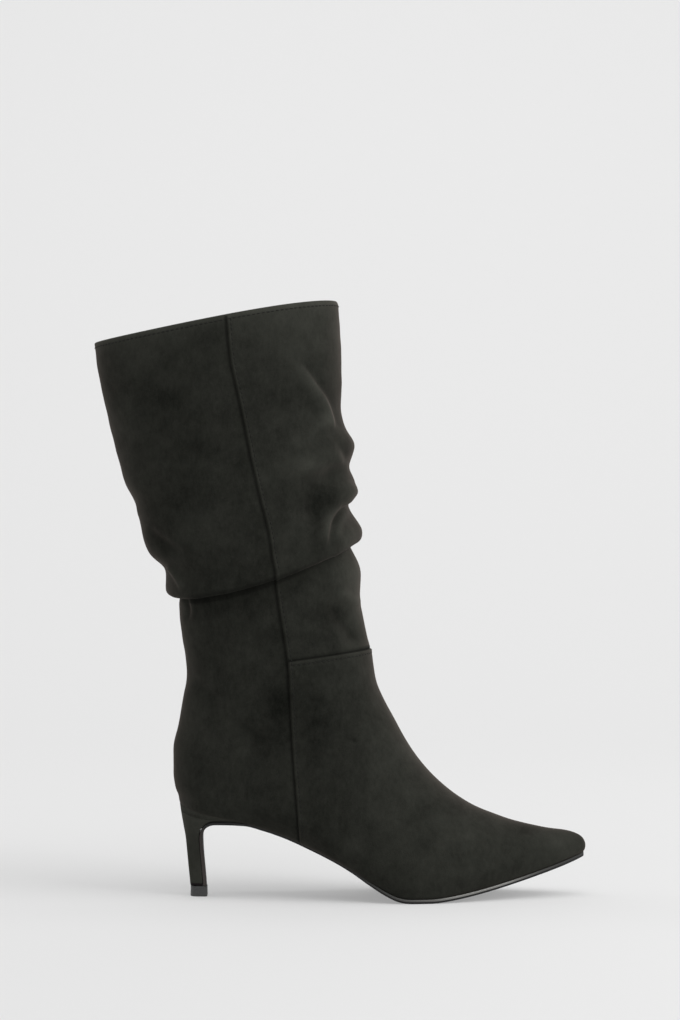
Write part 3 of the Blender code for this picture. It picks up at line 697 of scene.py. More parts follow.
def threadMaterial():
    # Black thread with a fine twist, darker between its strands
    shade = Shade("black_thread", Roughness=0.75, Specular_IOR_Level=0.15)
    twist = shade.noise(threadLook["twist"], 2.0, 0.5)
    colour = shade.mixed(twist, threadLook["dark"], threadLook["light"])
    return shade.into(Base_Color=colour, Normal=shade.bump(twist, 0.4, 0.0002))


def liningMaterial():
    # A dark knitted lining with a fine diagonal rib: two slanting waves multiplied
    shade = Shade("dark_lining", Roughness=0.9, Specular_IOR_Level=0.15, Sheen_Weight=0.1)
    x, y, z = (shade.along(axis) for axis in ("X", "Y", "Z"))
    slant = z * liningLook["slant"]
    rib = ((x + slant) * liningLook["rib"]).wave() * ((y - slant) * liningLook["rib"]).wave()
    cloud = shade.noise(liningLook["cloud"], 3.0, 0.6)
    tone = shade.toned(liningLook["tone"], (cloud, rib), liningLook["strengths"])
    colour = shade.mixed(tone, liningLook["dark"], liningLook["light"])
    return shade.into(Base_Color=colour, Normal=shade.bump(rib, 0.35, 0.0003))


suede = suedeMaterial("black_suede")
thread = threadMaterial()
lining = liningMaterial()

# Creases of the cloth, each along a line of (x, z) points in millimetres as the outer side shows them. A row
# gives the grid rows that a crease belongs to, its line, its rise, its spread to the left and right of its
# way, the shares of its length over which it fades in and out, and the painted highlight or, below 0, painted
# shade along it.
# The rise is how far the line stands out or, below 0, sinks in. Where a line runs down, left is to the toe.
upperRows = (lipRow - 2.0, collarRow)
lowerRows = (ankleRow, tuckRow + 0.5)
footRows = (3.0, ankleRow + 0.5)
creases = (
    # The sharp pleat that runs down into the first bulge, and the hollow behind it
    (upperRows, ((-33, 335), (-24, 325), (-17, 315), (-11, 306), (-7.5, 297), (-4.5, 286)),
     2.8, (2.0, 7.5), (0.45, 0.12), 0.42),
    (upperRows, ((-30, 322), (-21, 311), (-14, 300), (-10, 289)), -1.0, (4.0, 7.0), (0.3, 0.3), -0.08),
    # The soft crest across the middle of the shaft's front, and the deep dent under it
    (upperRows, ((-36, 256), (-24, 262), (-12, 266), (3, 273)), 3.2, (9.0, 5.0), (0.4, 0.15), 0.08),
    (upperRows, ((2, 268), (-8, 257), (-16, 243), (-23, 228)), -3.2, (8.0, 9.0), (0.25, 0.35), 0.0),
    # The crescent over the fold, with a second, lower one inside it
    (upperRows, ((11, 255), (4, 246), (-4, 238), (-9, 227), (-10, 214)),
     3.2, (2.2, 4.5), (0.12, 0.2), 0.34),
    (upperRows, ((6, 242), (0, 231), (-3, 218)), 1.2, (2.0, 2.6), (0.25, 0.3), 0.22),
    (upperRows, ((3, 247), (-3, 236), (-6, 224)), -1.4, (2.4, 2.2), (0.3, 0.3), -0.06),
    # Creases at the back of the fold, and the small roll that shows behind it
    (upperRows, ((-118, 226), (-106, 218), (-92, 210)), -2.2, (3.0, 4.0), (0.1, 0.5), -0.06),
    (upperRows, ((-106, 206), (-100, 198), (-95, 190)), 2.2, (3.0, 1.3), (0.2, 0.15), 0.3),
    (upperRows, ((-128, 240), (-116, 236), (-104, 232)), 1.0, (5.0, 5.0), (0.2, 0.5), 0.0),
    # Long soft undulations of the slack shaft
    (upperRows, ((-128, 300), (-100, 292), (-74, 290)), -0.9, (12.0, 12.0), (0.3, 0.4), 0.0),
    (upperRows, ((-118, 268), (-92, 262), (-66, 266)), 1.0, (12.0, 10.0), (0.3, 0.4), 0.0),
    (upperRows, ((-92, 244), (-72, 236), (-50, 240)), -1.1, (11.0, 11.0), (0.3, 0.4), 0.0),
    (upperRows, ((-60, 300), (-42, 296), (-26, 300)), -0.7, (9.0, 9.0), (0.4, 0.4), 0.0),
    # Under the fold: a slanting crease at the front with its bright upper edge, and buckles at the back
    (lowerRows, ((-11, 187), (-1, 175), (7, 163), (13, 156)), -2.0, (4.0, 5.5), (0.35, 0.2), -0.24),
    (lowerRows, ((-3, 192), (6, 185), (12, 179)), 1.3, (3.0, 3.6), (0.3, 0.2), 0.24),
    (lowerRows, ((-44, 178), (-24, 168), (-4, 160)), 0.8, (7.0, 7.0), (0.35, 0.35), 0.0),
    (lowerRows, ((-96, 188), (-93, 178), (-95, 168)), -1.3, (1.7, 1.7), (0.2, 0.4), -0.10),
    (lowerRows, ((-91, 186), (-89, 173)), 0.8, (1.5, 1.5), (0.2, 0.5), 0.10),
    # Soft diagonals in the quarter, and the dent beside the seam
    (footRows, ((-92, 129), (-84, 130), (-70, 115)), -1.3, (3.5, 4.5), (0.2, 0.4), -0.08),
    (footRows, ((-64, 111), (-55, 104), (-45, 96)), -1.2, (3.0, 4.0), (0.3, 0.4), -0.08),
    ((3.0, ankleRow + 3.0), ((-44, 131), (-40, 117), (-34, 102)), -1.6, (12.0, 10.0), (0.35, 0.35), 0.0),
    (footRows, ((2, 98), (7, 99), (13, 97)), -0.7, (1.6, 1.6), (0.4, 0.4), -0.08),
    ((0.0, ankleRow), ((104, 39), (115, 41), (126, 41)), -0.5, (2.5, 2.5), (0.4, 0.4), -0.10),
)
# The inner side, which the photograph doesn't show, has a plainer set of the same kind
innerCreases = (
    (upperRows, ((-30, 262), (-14, 266), (2, 271)), 2.2, (9.0, 7.0), (0.4, 0.2), 0.0),
    (upperRows, ((4, 262), (-8, 250), (-18, 232)), -2.6, (8.0, 9.0), (0.3, 0.3), 0.0),
    (upperRows, ((8, 250), (-3, 238), (-8, 222)), 1.8, (5.0, 3.5), (0.25, 0.3), 0.0),
    (upperRows, ((-120, 230), (-104, 222), (-86, 216)), -1.6, (4.0, 5.0), (0.15, 0.5), 0.0),
    (upperRows, ((-100, 280), (-76, 272), (-52, 276)), 1.2, (12.0, 12.0), (0.3, 0.4), 0.0),
    (lowerRows, ((-10, 184), (2, 172), (11, 160)), -1.2, (4.0, 4.0), (0.35, 0.2), 0.0),
    (footRows, ((-40, 128), (-38, 112)), -1.2, (11.0, 11.0), (0.4, 0.4), 0.0),
)
sideFade = 7.0              # millimetres either side of the middle where a crease of one side dies away
crestPower = 1.5            # the painted highlight along a crest is narrower than the crest by this power
creaseReach = 3.0           # spreads beyond which a crease isn't worked out
# The slack cloth's slow waves: how high on the foot and how much more on the shaft, in millimetres, the rows
# over which they grow, and how they end at the sole and at the collar
slack = {
    "foot": 0.12,
    "shaft": 0.38,
    "growth": (-4.0, 6.0),
    "soleEnd": (1.0, 3.0),
    "collarEnd": (0.5, 1.5),
}
# Each wave's share, then two sines: turns a metre along x, y and z, in radians, and the phase
waves = (
    (0.55, (150, 0, 60, 1.3), (0, -90, 110, 0.4)),
    (0.30, (230, 0, -170, 2.1), (0, 190, 130, 1.9)),
    (0.15, (420, 0, 260, 0.7), (0, -380, 310, 2.6)),
)


def curveThrough(points, steps=8):
    # A smooth line through a few points: each stretch leans on the points before and after it
    line = np.array(points, dtype=float)
    line = np.vstack((2 * line[0] - line[1], line, 2 * line[-1] - line[-2]))
    u = np.linspace(0.0, 1.0, steps, endpoint=False)[:, None]
    parts = []
    for a, b, c, d in zip(line, line[1:], line[2:], line[3:]):
        parts.append(0.5 * (2 * b + (c - a) * u + (2 * a - 5 * b + 4 * c - d) * u ** 2
                            + (3 * b - a - 3 * c + d) * u ** 3))
    return np.vstack((*parts, line[-2:-1]))


def creaseProfile(flat, rowNumber, gridRows, points, spread, fades):
    # One crease across the grid: 1 along its line, and a bell of the distance over its spread beside it
    line = curveThrough(points)
    starts, ends = line[:-1], line[1:]
    way = ends - starts
    length = np.linalg.norm(way, axis=1)
    reach = creaseReach * max(spread)
    low, high = line.min(axis=0) - reach, line.max(axis=0) + reach
    first, last = gridRows
    near = np.all((flat > low) & (flat < high), axis=1) & (rowNumber > first - 1.0) & (rowNumber < last + 1.0)
    profile = np.zeros(len(flat))
    if not near.any():
        return profile
    offset = flat[near][:, None, :] - starts[None, :, :]
    t = np.clip(np.sum(offset * way, axis=2) / length ** 2, 0.0, 1.0)
    miss = offset - t[:, :, None] * way
    distance = np.linalg.norm(miss, axis=2)
    best = np.argmin(distance, axis=1)
    pick = np.arange(len(best))
    side = (way[best, 0] * offset[pick, best, 1] - way[best, 1] * offset[pick, best, 0]) > 0.0
    width = np.where(side, *spread)
    travelled = np.concatenate(([0.0], np.cumsum(length)))
    share = (travelled[best] + t[pick, best] * length[best]) / travelled[-1]
    fade = ease(share / fades[0]) * ease((1.0 - share) / fades[1])
    rows = ease(rowNumber[near] - first + 1.0) * ease(last + 1.0 - rowNumber[near])
    profile[near] = bell(distance[pick, best], width) * fade * rows
    return profile


def undulation(points):
    # The waves added up, each by its share as one sine times another that runs another way
    total = 0.0
    for share, *pair in waves:
        first, second = (np.sin(points[:, 0] * a + points[:, 1] * b + points[:, 2] * c + phase)
                         for a, b, c, phase in pair)
        total = total + share * (first * second)
    return total


# The seams, in millimetres: the front panel laps over the back one, the vamp over the front panel
seams = {
    "lap": 0.45,
    "lapRamp": (-0.15, 0.7),
    "groove": 0.42,
    "grooveWidth": 0.42,
    "turning": 0.34,
    "turningLine": 1.3,
    "turningWidth": 0.8,
    "stitchLine": 2.6,
    "stitchDip": 0.16,
    "stitchWidth": 0.45,
    "frontRamp": (0.2, 0.8),
    "vampFade": 26.0,
    "vampEdge": -1.0,
    "collarStitch": 3.2,
}


def seamProfile(s):
    # Height across a lapped seam: a step, and beside it a soft bell over the turning, less a groove at the
    # edge and a dip at the stitches
    step = seams["lap"] * ramp(s, *seams["lapRamp"])
    groove = seams["groove"] * bell(s, seams["grooveWidth"])
    turning = seams["turning"] * bell(s - seams["turningLine"], seams["turningWidth"])
    dip = seams["stitchDip"] * bell(s - seams["stitchLine"], seams["stitchWidth"])
    return step, turning - groove - dip


def seamDistances(grid, rear, close):
    # Distance along each ring from the seam of its own side, in millimetres, above 0 on the front panel
    columns = grid.shape[1]
    outerSeam = rear + len(close)
    step = np.linalg.norm(np.roll(grid, -1, axis=1) - grid, axis=2)
    travelled = np.concatenate((np.zeros((len(grid), 1)), np.cumsum(step, axis=1)), axis=1)
    here = travelled[:, :-1]
    outer = here - travelled[:, outerSeam:outerSeam + 1]
    inner = travelled[:, columns - outerSeam:columns - outerSeam + 1] - here
    return perMetre * np.where(np.arange(columns) <= columns // 2, outer, inner)


# Patches of painted light or, below 0, painted shade on the outer side: x, z, reach in x and z, how much
paintedLight = (
    (-24, 350, 32, 18, 0.24),
    (-122, 334, 14, 18, 0.16),
    (-38, 118, 11, 16, -0.22),
    (-16, 108, 10, 26, -0.12),
    (-12, 243, 10, 14, -0.25),
    (-24, 265, 14, 8, 0.24),
    (6, 219, 6, 7, 0.25),
    (-80, 208, 26, 12, 0.03),
    (-68, 160, 22, 18, -0.07),
    (-10, 170, 10, 12, -0.08),
    (13, 190, 8, 20, 0.18),
    (32, 66, 28, 28, 0.15),
    (84, 42, 26, 14, 0.11),
    (136, 34, 22, 12, 0.20),
    (8, 172, 9, 22, 0.18),
    (8, 203, 9, 12, 0.24),
    (-96, 172, 6, 20, 0.22),
    (-100, 112, 7, 26, 0.14),
    (-126, 300, 8, 34, 0.08),
)


def paintedLightAt(flat, outer):
    # Each patch of painted light or shade fades out as a bell of its distance over its reach
    total = np.zeros(len(flat))
    for x, z, wide, tall, much in paintedLight:
        total += much * np.exp(-((flat[:, 0] - x) / wide) ** 2 - ((flat[:, 1] - z) / tall) ** 2)
    return total * outer


def creasedCloth(points, rowNumber):
    # How far the creases raise the cloth, and the painted highlight and shade that they and the painted
    # patches add. Each side of the boot has its own creases, which hand over to the other side's across the
    # middle.
    flat = points[:, [0, 2]] * perMetre
    outer = ease(0.5 - 0.5 * (points[:, 1] * perMetre) / sideFade)
    height = np.zeros(len(flat))
    light = np.zeros(len(flat))
    for table, share in ((creases, outer), (innerCreases, 1.0 - outer)):
        for gridRows, line, rise, spread, fades, paintedCreaseLight in table:
            profile = creaseProfile(flat, rowNumber, gridRows, line, spread, fades) * share
            height += rise * profile
            light += paintedCreaseLight * profile ** crestPower
    return height, light + paintedLightAt(flat, outer)


# Painted shade and painted highlight over the cloth. A pair is where a change begins and over how much it
# comes in, both in millimetres or in rows, or how far from an edge a band's middle lies and how wide the band
# is.
shading = {
    "rollFrom": 3.0,
    "tuckRamp": (-0.2, 0.25),
    "insideHem": (-0.9, 1.8),
    "outsideHem": (3.0, 2.0),   # the shadow is gone this high over the hem, and fades over so much
    "shadowFrom": 2.0,
    "fold": 0.42,
    "foldFront": (-36.0, 26.0),
    "foldBack": (-98.0, 12.0),
    "foldLoss": 0.75,           # how much of the fold's shadow goes at the front, and at the back
    "seam": 0.58,
    "seamBand": (-0.65, 0.85),
    "ankle": 0.7,
    "ankleBand": (-0.6, 0.8),
    "seat": 0.75,
    "seatReach": 5.0,
    "seatBack": (54.0, 12.0),
    "lapRamp": (0.2, 0.5),
    "vampLip": (0.10, 3.2),     # how much painted highlight each edge gets, and how far from the edge that reaches
    "seamLip": (0.07, 8.0),
    "seamBehind": (0.04, 12.0),
    "collarLips": ((0.50, 2.5), (0.24, 9.0)),
}


def foldShadow(x, level, rowNumber, places):
    # The hem is the lowest point of the fold's roll in each column. On the roll's outside the shadow ends a
    # few millimetres over the hem. Inside, it covers the tuck and all that lies higher than the hem.
    rolling = (rowNumber > tuckRow + shading["rollFrom"]) & (rowNumber < lipRow)
    rollLevel = np.where(rolling, level, np.inf)
    hem = rollLevel.min(axis=0)
    outside = rowNumber > places[rollLevel.argmin(axis=0)]
    inTuck = ramp(rowNumber - tuckRow, *shading["tuckRamp"])
    inside = np.maximum(ramp(level - hem, *shading["insideHem"]), inTuck)
    over, fade = shading["outsideHem"]
    shadow = np.where(outside, ease((hem + over - level) / fade), inside)
    shadow *= rowNumber > ankleRow + shading["shadowFrom"]
    atFront = 1.0 - shading["foldLoss"] * ramp(x, *shading["foldFront"])
    atBack = 1.0 - shading["foldLoss"] + shading["foldLoss"] * ramp(x, *shading["foldBack"])
    return shadow * (shading["fold"] * atFront * atBack)


def clothShades(x, level, rowNumber, places, seamMade, onFront, fromSeam, fromAnkle, climbed):
    # Painted shadow under the fold, behind each lapped edge and at the heel's seat
    under = foldShadow(x, level, rowNumber, places)
    middle, width = shading["seamBand"]
    behind = shading["seam"] * bell(fromSeam - middle, width) * seamMade * (1.0 - under)
    middle, width = shading["ankleBand"]
    over = shading["ankle"] * bell(fromAnkle - middle, width) * onFront
    seated = shading["seat"] * bell(climbed, shading["seatReach"]) * ramp(-x, *shading["seatBack"])
    paintedShadow = np.clip(under + behind + over + seated, 0.0, 1.0)
    # Painted highlight on the vamp's and the front panel's lapped edges and along the collar, painted shade
    # behind the seam
    amount, reach = shading["vampLip"]
    lip = amount * ramp(fromAnkle, *shading["lapRamp"]) * bell(fromAnkle, reach) * onFront
    amount, reach = shading["seamLip"]
    lip += amount * ramp(fromSeam, *shading["lapRamp"]) * bell(fromSeam, reach) * seamMade
    amount, reach = shading["seamBehind"]
    lip -= amount * ease(-fromSeam / shading["lapRamp"][1]) * bell(fromSeam, reach) * seamMade
    for amount, reach in shading["collarLips"]:
        lip += amount * np.exp((climbed - climbed[-1]) / reach)
    return paintedShadow, lip


# The collar's edge turns over the wall and runs a little way down inside; the lining starts lower
collar = {
    "cutBack": 1.2,             # the rolled edge replaces the last rows, in radii of the roll
    "turnRows": 9,
    "facingRows": 10,
    "liningBelow": 8,
    "liningGap": 0.0001,
    "liningRowStep": 3,
    "liningColumnStep": 2,
}


def makeUpper():
    # A smooth grid over the last and the shaft, moved along its normals by creases, waves and seams
    rear, fore, close = cut["rearColumns"], cut["foreColumns"], cut["seamLines"]
    coarse = coarseRings(rear, fore, close)
    places = rowPlaces(coarse)
    grid = splineRows(coarse, places)
    normals = unitNormals(grid)
    rows, columns = grid.shape[:2]
    rowNumber = np.repeat(places[:, None], columns, axis=1)
    points = grid.reshape(-1, 3)
    pointRow = rowNumber.ravel()
    height, light = creasedCloth(points, pointRow)
    loose = slack["foot"] + slack["shaft"] * ramp(pointRow - ankleRow, *slack["growth"])
    past, over = slack["collarEnd"]
    calm = ramp(pointRow, *slack["soleEnd"]) * ease((collarRow + past - pointRow) / over)
    height = (height + undulation(points) * loose * calm).reshape(rows, columns)
    # Seams
    fromSeam = seamDistances(grid, rear, close)
    step, relief = seamProfile(fromSeam)
    seamMade = ramp(rowNumber, 0.5, 1.0)
    height += (step + relief) * seamMade
    climbed = np.cumsum(np.linalg.norm(np.diff(grid, axis=0, prepend=grid[:1]), axis=2), axis=0) * perMetre
    fromAnkle = climbed[np.argmin(np.abs(places - ankleRow))] - climbed
    vampStep, vampRelief = seamProfile(fromAnkle)
    onFront = ramp(fromSeam, *seams["frontRamp"])
    taper = ease(1.0 - fromAnkle / seams["vampFade"])
    height += (vampStep * taper * (fromAnkle > seams["vampEdge"]) + vampRelief) * onFront
    outside = grid + normals * (height * millimetre)[:, :, None]
    sunk = grid + normals * (np.minimum(height, 0.0) * millimetre)[:, :, None]
    # The collar's edge
    radius = 0.5 * wall
    deep = climbed[-1] - climbed
    keep = int(np.argmax(deep.mean(axis=1) < perMetre * radius * collar["cutBack"]))
    up = outside[keep] - outside[keep - 1]
    up /= np.linalg.norm(up, axis=1, keepdims=True)
    top = grid[-1] - up * radius
    rolled = [top + up * radius * math.sin(turn) - normals[-1] * radius * (1.0 - math.cos(turn))
              for turn in np.linspace(0.0, math.pi, collar["turnRows"])]
    facing = [sunk[row] - normals[row] * wall for row in range(keep - 1, keep - 1 - collar["facingRows"], -1)]
    skin = np.concatenate((outside[:keep], rolled, facing))
    upper = newPiece("suede_upper", skin.reshape(-1, 3), gridFaces(len(skin), columns).tolist(), suede)
    x, level = grid[:, :, 0] * perMetre, grid[:, :, 2] * perMetre
    # Painted shadow under the fold, by the seams and at the seat, and the painted highlight and shade of the
    # lapped edges, the collar, the creases and the patches, carried to the suede in its points
    paintedShadow, lip = clothShades(x, level, rowNumber, places, seamMade, onFront, fromSeam, fromAnkle, climbed)
    brush = lip + light.reshape(rows, columns)
    grown = len(skin) - keep
    addFloats(upper, "tucked", np.vstack((paintedShadow[:keep], np.zeros((grown, columns)))))
    addFloats(upper, "paintedLight", np.vstack((brush[:keep], np.repeat(brush[keep - 1:keep], grown, axis=0))))
    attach(upper, "root")
    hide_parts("upper")
    print("upper:", len(skin), "rows by", columns, "columns")
    return {"skin": outside, "sunk": sunk, "normals": normals, "places": places, "keep": keep,
            "fromSeam": fromSeam, "fromAnkle": fromAnkle, "climbed": climbed, "outerSeam": rear + len(close)}


shell = makeUpper()


def makeLining():
    # A coarser sheet just inside the wall, from the sole to a little below the collar, facing inwards
    rowStep, columnStep = collar["liningRowStep"], collar["liningColumnStep"]
    sunk, normals = (shell[key][::rowStep, ::columnStep] for key in ("sunk", "normals"))
    inside = sunk - normals * (wall - collar["liningGap"])
    places = shell["places"]
    covered = int(np.sum(places[::rowStep] < places[shell["keep"] - collar["liningBelow"]]))
    inside = inside[:covered]
    faces = gridFaces(len(inside), inside.shape[1])[:, ::-1]
    cloth = newPiece("shaft_lining", inside.reshape(-1, 3), faces.tolist(), lining)
    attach(cloth, "root")


makeLining()
print("lining made")

# Stitches: short rounded dashes of thread, one after another in a row
stitch = {
    "pitch": 0.0030,
    "length": 0.0023,
    "width": 0.00052,
    "proud": 0.00012,
    "sides": 6,
    "tangent": 0.0008,
    # Rings of one dash: place along it, thickness, and how deep it sinks in radii
    "rings": ((-0.50, 0.15, -0.8), (-0.42, 0.70, -0.3), (-0.20, 1.0, 0.0),
              (0.20, 1.0, 0.0), (0.42, 0.70, -0.3), (0.50, 0.15, -0.8)),
    "seamColumns": 12,
    "seamRows": ((2.0, tuckRow - 0.5), (lipRow - 1.0, collarRow)),
}


def stitchRow(name, lines):
    # Dashes along pairs of a dense line on the cloth and the normals along it: rings round a short spine
    # that dips into the cloth at both ends
    turns = np.linspace(0.0, 2 * math.pi, stitch["sides"], endpoint=False)
    along, thick, sink = np.array(stitch["rings"]).T
    radius = 0.5 * stitch["width"]
    sideways = thick[:, None] * (np.cos(turns) * radius)
    outwards = thick[:, None] * (np.sin(turns) * radius)
    each = len(along) * len(turns)
    side = gridFaces(len(along), len(turns))
    low = np.arange(len(turns))[::-1]
    high = np.arange(len(turns)) + each - len(turns)
    points, faces = [], []
    count = 0
    for line, normals in lines:
        lengths = arcLengths(line)
        middles = np.arange(stitch["pitch"], lengths[-1] - 0.5 * stitch["pitch"], stitch["pitch"])
        before, centre, after = (pointsAt(middles + d, lengths, line)
                                 for d in (-stitch["tangent"], 0.0, stitch["tangent"]))
        way = after - before
        way /= np.linalg.norm(way, axis=1, keepdims=True)
        across = np.cross(way, pointsAt(middles, lengths, normals))
        across /= np.linalg.norm(across, axis=1, keepdims=True)
        out = np.cross(across, way)
        centre = centre + out * stitch["proud"]
        spine = (centre[:, None, :] + way[:, None, :] * (along * stitch["length"])[None, :, None]
                 + out[:, None, :] * (sink * radius)[None, :, None])
        ring = across[:, None, None, :] * sideways[:, :, None] + out[:, None, None, :] * outwards[:, :, None]
        body = (ring + spine[:, :, None, :]).reshape(-1, 3)
        starts = count + np.arange(len(middles)) * each
        faces += (side[None, :, :] + starts[:, None, None]).reshape(-1, 4).tolist()
        faces += (starts[:, None] + low[None, :]).tolist()
        faces += (starts[:, None] + high[None, :]).tolist()
        points.append(body)
        count += len(body)
    row = newPiece(name, np.vstack(points), faces, thread)
    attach(row, "root")


def followed(wanted, tracks):
    # Points and normals of the cloth where a distance that grows along each track of the grid is as wanted
    return [np.array([pointsAt([wanted], distance, shell[key][place])[0] for distance, place in tracks])
            for key in ("skin", "normals")]


def lineAtSeamDistance(wanted, firstRow, lastRow, inner):
    # A line up the cloth that keeps a distance in millimetres from a side seam
    pick = shell["outerSeam"] + np.arange(stitch["seamColumns"])
    if inner:
        pick = shell["skin"].shape[1] - pick
    rows = np.flatnonzero((shell["places"] >= firstRow) & (shell["places"] <= lastRow))
    return followed(wanted, [(shell["fromSeam"][row, pick], (row, pick)) for row in rows])


def lineAcross(distances, wanted, columns):
    # A line round the cloth that keeps a distance in millimetres, measured down each column
    orders = [(np.argsort(distances[:, column]), column) for column in columns]
    return followed(wanted, [(distances[place], place) for place in orders])


def makeStitches():
    # One row beside each side seam below and above the fold, one over the ankle seam, one round the collar
    sideLines = [lineAtSeamDistance(seams["stitchLine"], *rows, inner)
                 for rows in stitch["seamRows"] for inner in (False, True)]
    stitchRow("side_seam_stitches", sideLines)
    columns = shell["skin"].shape[1]
    seam = shell["outerSeam"]
    front = range(seam + 3, columns - seam - 2)
    stitchRow("ankle_seam_stitches", [lineAcross(shell["fromAnkle"], seams["stitchLine"], front)])
    fromTop = shell["climbed"][-1] - shell["climbed"]
    stitchRow("collar_stitches", [lineAcross(fromTop, seams["collarStitch"], [*range(columns), 0])])


makeStitches()
print("stitches made")

# The heel, covered in the same suede: rings from its tip to its seat
heelBlock = {
    "topLiftLength": 0.0106,
    "topLiftWidth": 0.0102,
    "topLiftHeight": 0.0063,
    "rake": 0.0043,
    "rakePower": 1.25,
    "ledge": 0.0022,
    "ledgeEnd": 0.42,
    "breastRadius": 0.0090,
    "breastHollow": 0.24,
    "hollowEnd": 0.85,
    "breastNarrow": 0.96,
    "breastStops": (0.0, 0.28, 0.56, 0.82),
    "cornerStops": 5,
    "wedgeEnd": 0.142,
    "backRound": 0.75,
    "sidePoints": 40,
    "breastPoints": 10,
    "rows": 81,
    "hemTuck": (0.93, 0.90, 1.0),   # how the cover's lower edge draws in under its hem, and the hem's height
    "hemRise": 0.0002,
    "sharpAngle": 50,
}
# The heel's look: a paler middle tone than the upper's and its own mottling, a painted sheen at its rim, and
# a smooth dark band where the cover is trimmed
heelLook = {
    "tone": 0.70,
    "strengths": (0.4, 0.3, 0.3),
    "stretch": (1.0, 1.0, 0.4),
    "rimPower": 3.6,
    "rim": 0.7,
    "bump": 0.4,
    "band": 0.0016,
    "bandColour": (0.013, 0.010, 0.011),
}
heelLow = heelBlock["topLiftHeight"] + gap
# Rings: back height over the tip as a share of the block, half width as a share of the seat's, how seat-like
heelRings = (
    (0.00, 0.185, 0.00), (0.17, 0.200, 0.00), (0.34, 0.222, 0.00), (0.50, 0.265, 0.05), (0.62, 0.350, 0.10),
    (0.71, 0.490, 0.25), (0.79, 0.650, 0.45), (0.86, 0.800, 0.65), (0.91, 0.895, 0.85), (0.95, 0.955, 1.00),
    (1.00, 0.985, 1.00),
)


def blockHeight():
    # From the tip to the seat, at the back
    return float(featherHeight(-heelBlock["ledge"])) - gap - heelLow


def breastFront(height):
    # The heel's front hollows as it rises from the tip
    hollow = heelBlock["breastHollow"] * heelBlock["topLiftLength"]
    front = heelBlock["rake"] + heelBlock["topLiftLength"] - gap
    return front - hollow * float(ease(height / heelHeight / heelBlock["hollowEnd"]))


def breastCorner():
    # The middle of the quarter circle that joins the breast to the shank
    cornerZ = heelHeight - heelBlock["breastRadius"]
    return breastFront(cornerZ) + heelBlock["breastRadius"], cornerZ


def breastHalfWidth(height):
    # The sole on the breast follows the heel's rings, a little narrower
    share = (height - heelLow) / blockHeight()
    return 0.5 * heelWidth * float(smooth(heelRings, 1, share)) * heelBlock["breastNarrow"]


def heelFrontPoints():
    # The front ends of the heel's rings: up the breast, round its corner, and under the arch to the wedge
    cornerX, cornerZ = breastCorner()
    end = heelBlock["wedgeEnd"] * soleLength
    points = []
    for u in heelBlock["breastStops"]:
        height = heelLow + (cornerZ - heelLow) * u
        points.append((breastFront(height) - breastSole - gap, height))
    for turn in np.linspace(0.0, 0.5 * math.pi, heelBlock["cornerStops"]):
        sheet = breastSole + (shankSole - breastSole) * turn / (0.5 * math.pi)
        reach = heelBlock["breastRadius"] + gap + sheet
        points.append((cornerX - reach * math.cos(turn), cornerZ + reach * math.sin(turn)))
    points.append((end, float(soleBottom(end) + soleThickness(end)) + gap))
    points.append((end, float(featherHeight(end)) - gap))
    return points


def makeHeel():
    # Each ring runs from a back point to a front point, straight near the tip and like the seat near the top,
    # with the sole's half width scaled down; a smooth spline joins the rings
    sides = heelBlock["sidePoints"]
    share = 0.5 - 0.5 * np.cos(np.linspace(0.0, math.pi, 2 * sides + 1))[:sides + 1]
    share = share / share[-1]
    across = np.linspace(-1.0, 1.0, heelBlock["breastPoints"] + 2)[1:-1]
    level = np.ones(len(across))
    rings = []
    for (up, wide, seatLike), (front, frontHeight) in zip(heelRings, heelFrontPoints()):
        backHeight = heelLow + blockHeight() * up
        down = 1.0 - (backHeight - heelLow) / blockHeight()
        back = heelBlock["rake"] * down ** heelBlock["rakePower"]
        back -= heelBlock["ledge"] * max(0.0, 1.0 - down / heelBlock["ledgeEnd"])
        along = back + (front - back) * share
        straight = backHeight + (frontHeight - backHeight) * share
        dropBack = featherHeight(back) - gap - backHeight
        dropFront = featherHeight(front) - gap - frontHeight
        seated = featherHeight(along) - gap - dropBack - (dropFront - dropBack) * share
        height = straight + (seated - straight) * seatLike
        length = min(heelRound * soleLength, heelBlock["backRound"] * (front - back))
        half = wide * plainHalfWidth(along) * roundEnd(along - back, length)
        outer = np.column_stack((along - originAlong, -half, height))
        inner = np.column_stack((along - originAlong, half, height))[:0:-1]
        breast = np.column_stack((level * (along[-1] - originAlong), across * half[-1], level * height[-1]))
        rings.append(np.vstack((outer, breast, inner)))
    grid = splineRows(np.array(rings), np.linspace(0.0, len(rings) - 1.0, heelBlock["rows"]))
    lowest = grid[0].mean(axis=0)
    highest = grid[-1].mean(axis=0)
    # Rounds the cover's lower edge and closes both ends
    tucked = lowest + (grid[0] - lowest) * np.array(heelBlock["hemTuck"])
    grid[0, :, 2] += heelBlock["hemRise"]
    body = np.concatenate((tucked[None], grid))
    columns = body.shape[1]
    points = np.vstack((body.reshape(-1, 3), lowest, highest))
    faces = gridFaces(len(body), columns).tolist()
    low, high = len(points) - 2, len(points) - 1
    start = (len(body) - 1) * columns
    faces += [((i + 1) % columns, i, low) for i in range(columns)]
    faces += [(start + i, start + (i + 1) % columns, high) for i in range(columns)]
    heel = newPiece("suede_heel", points, faces, heelMaterial())
    heel.data.set_sharp_from_angle(angle=math.radians(heelBlock["sharpAngle"]))
    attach(heel, "root")
    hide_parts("heel")
    print("heel made")


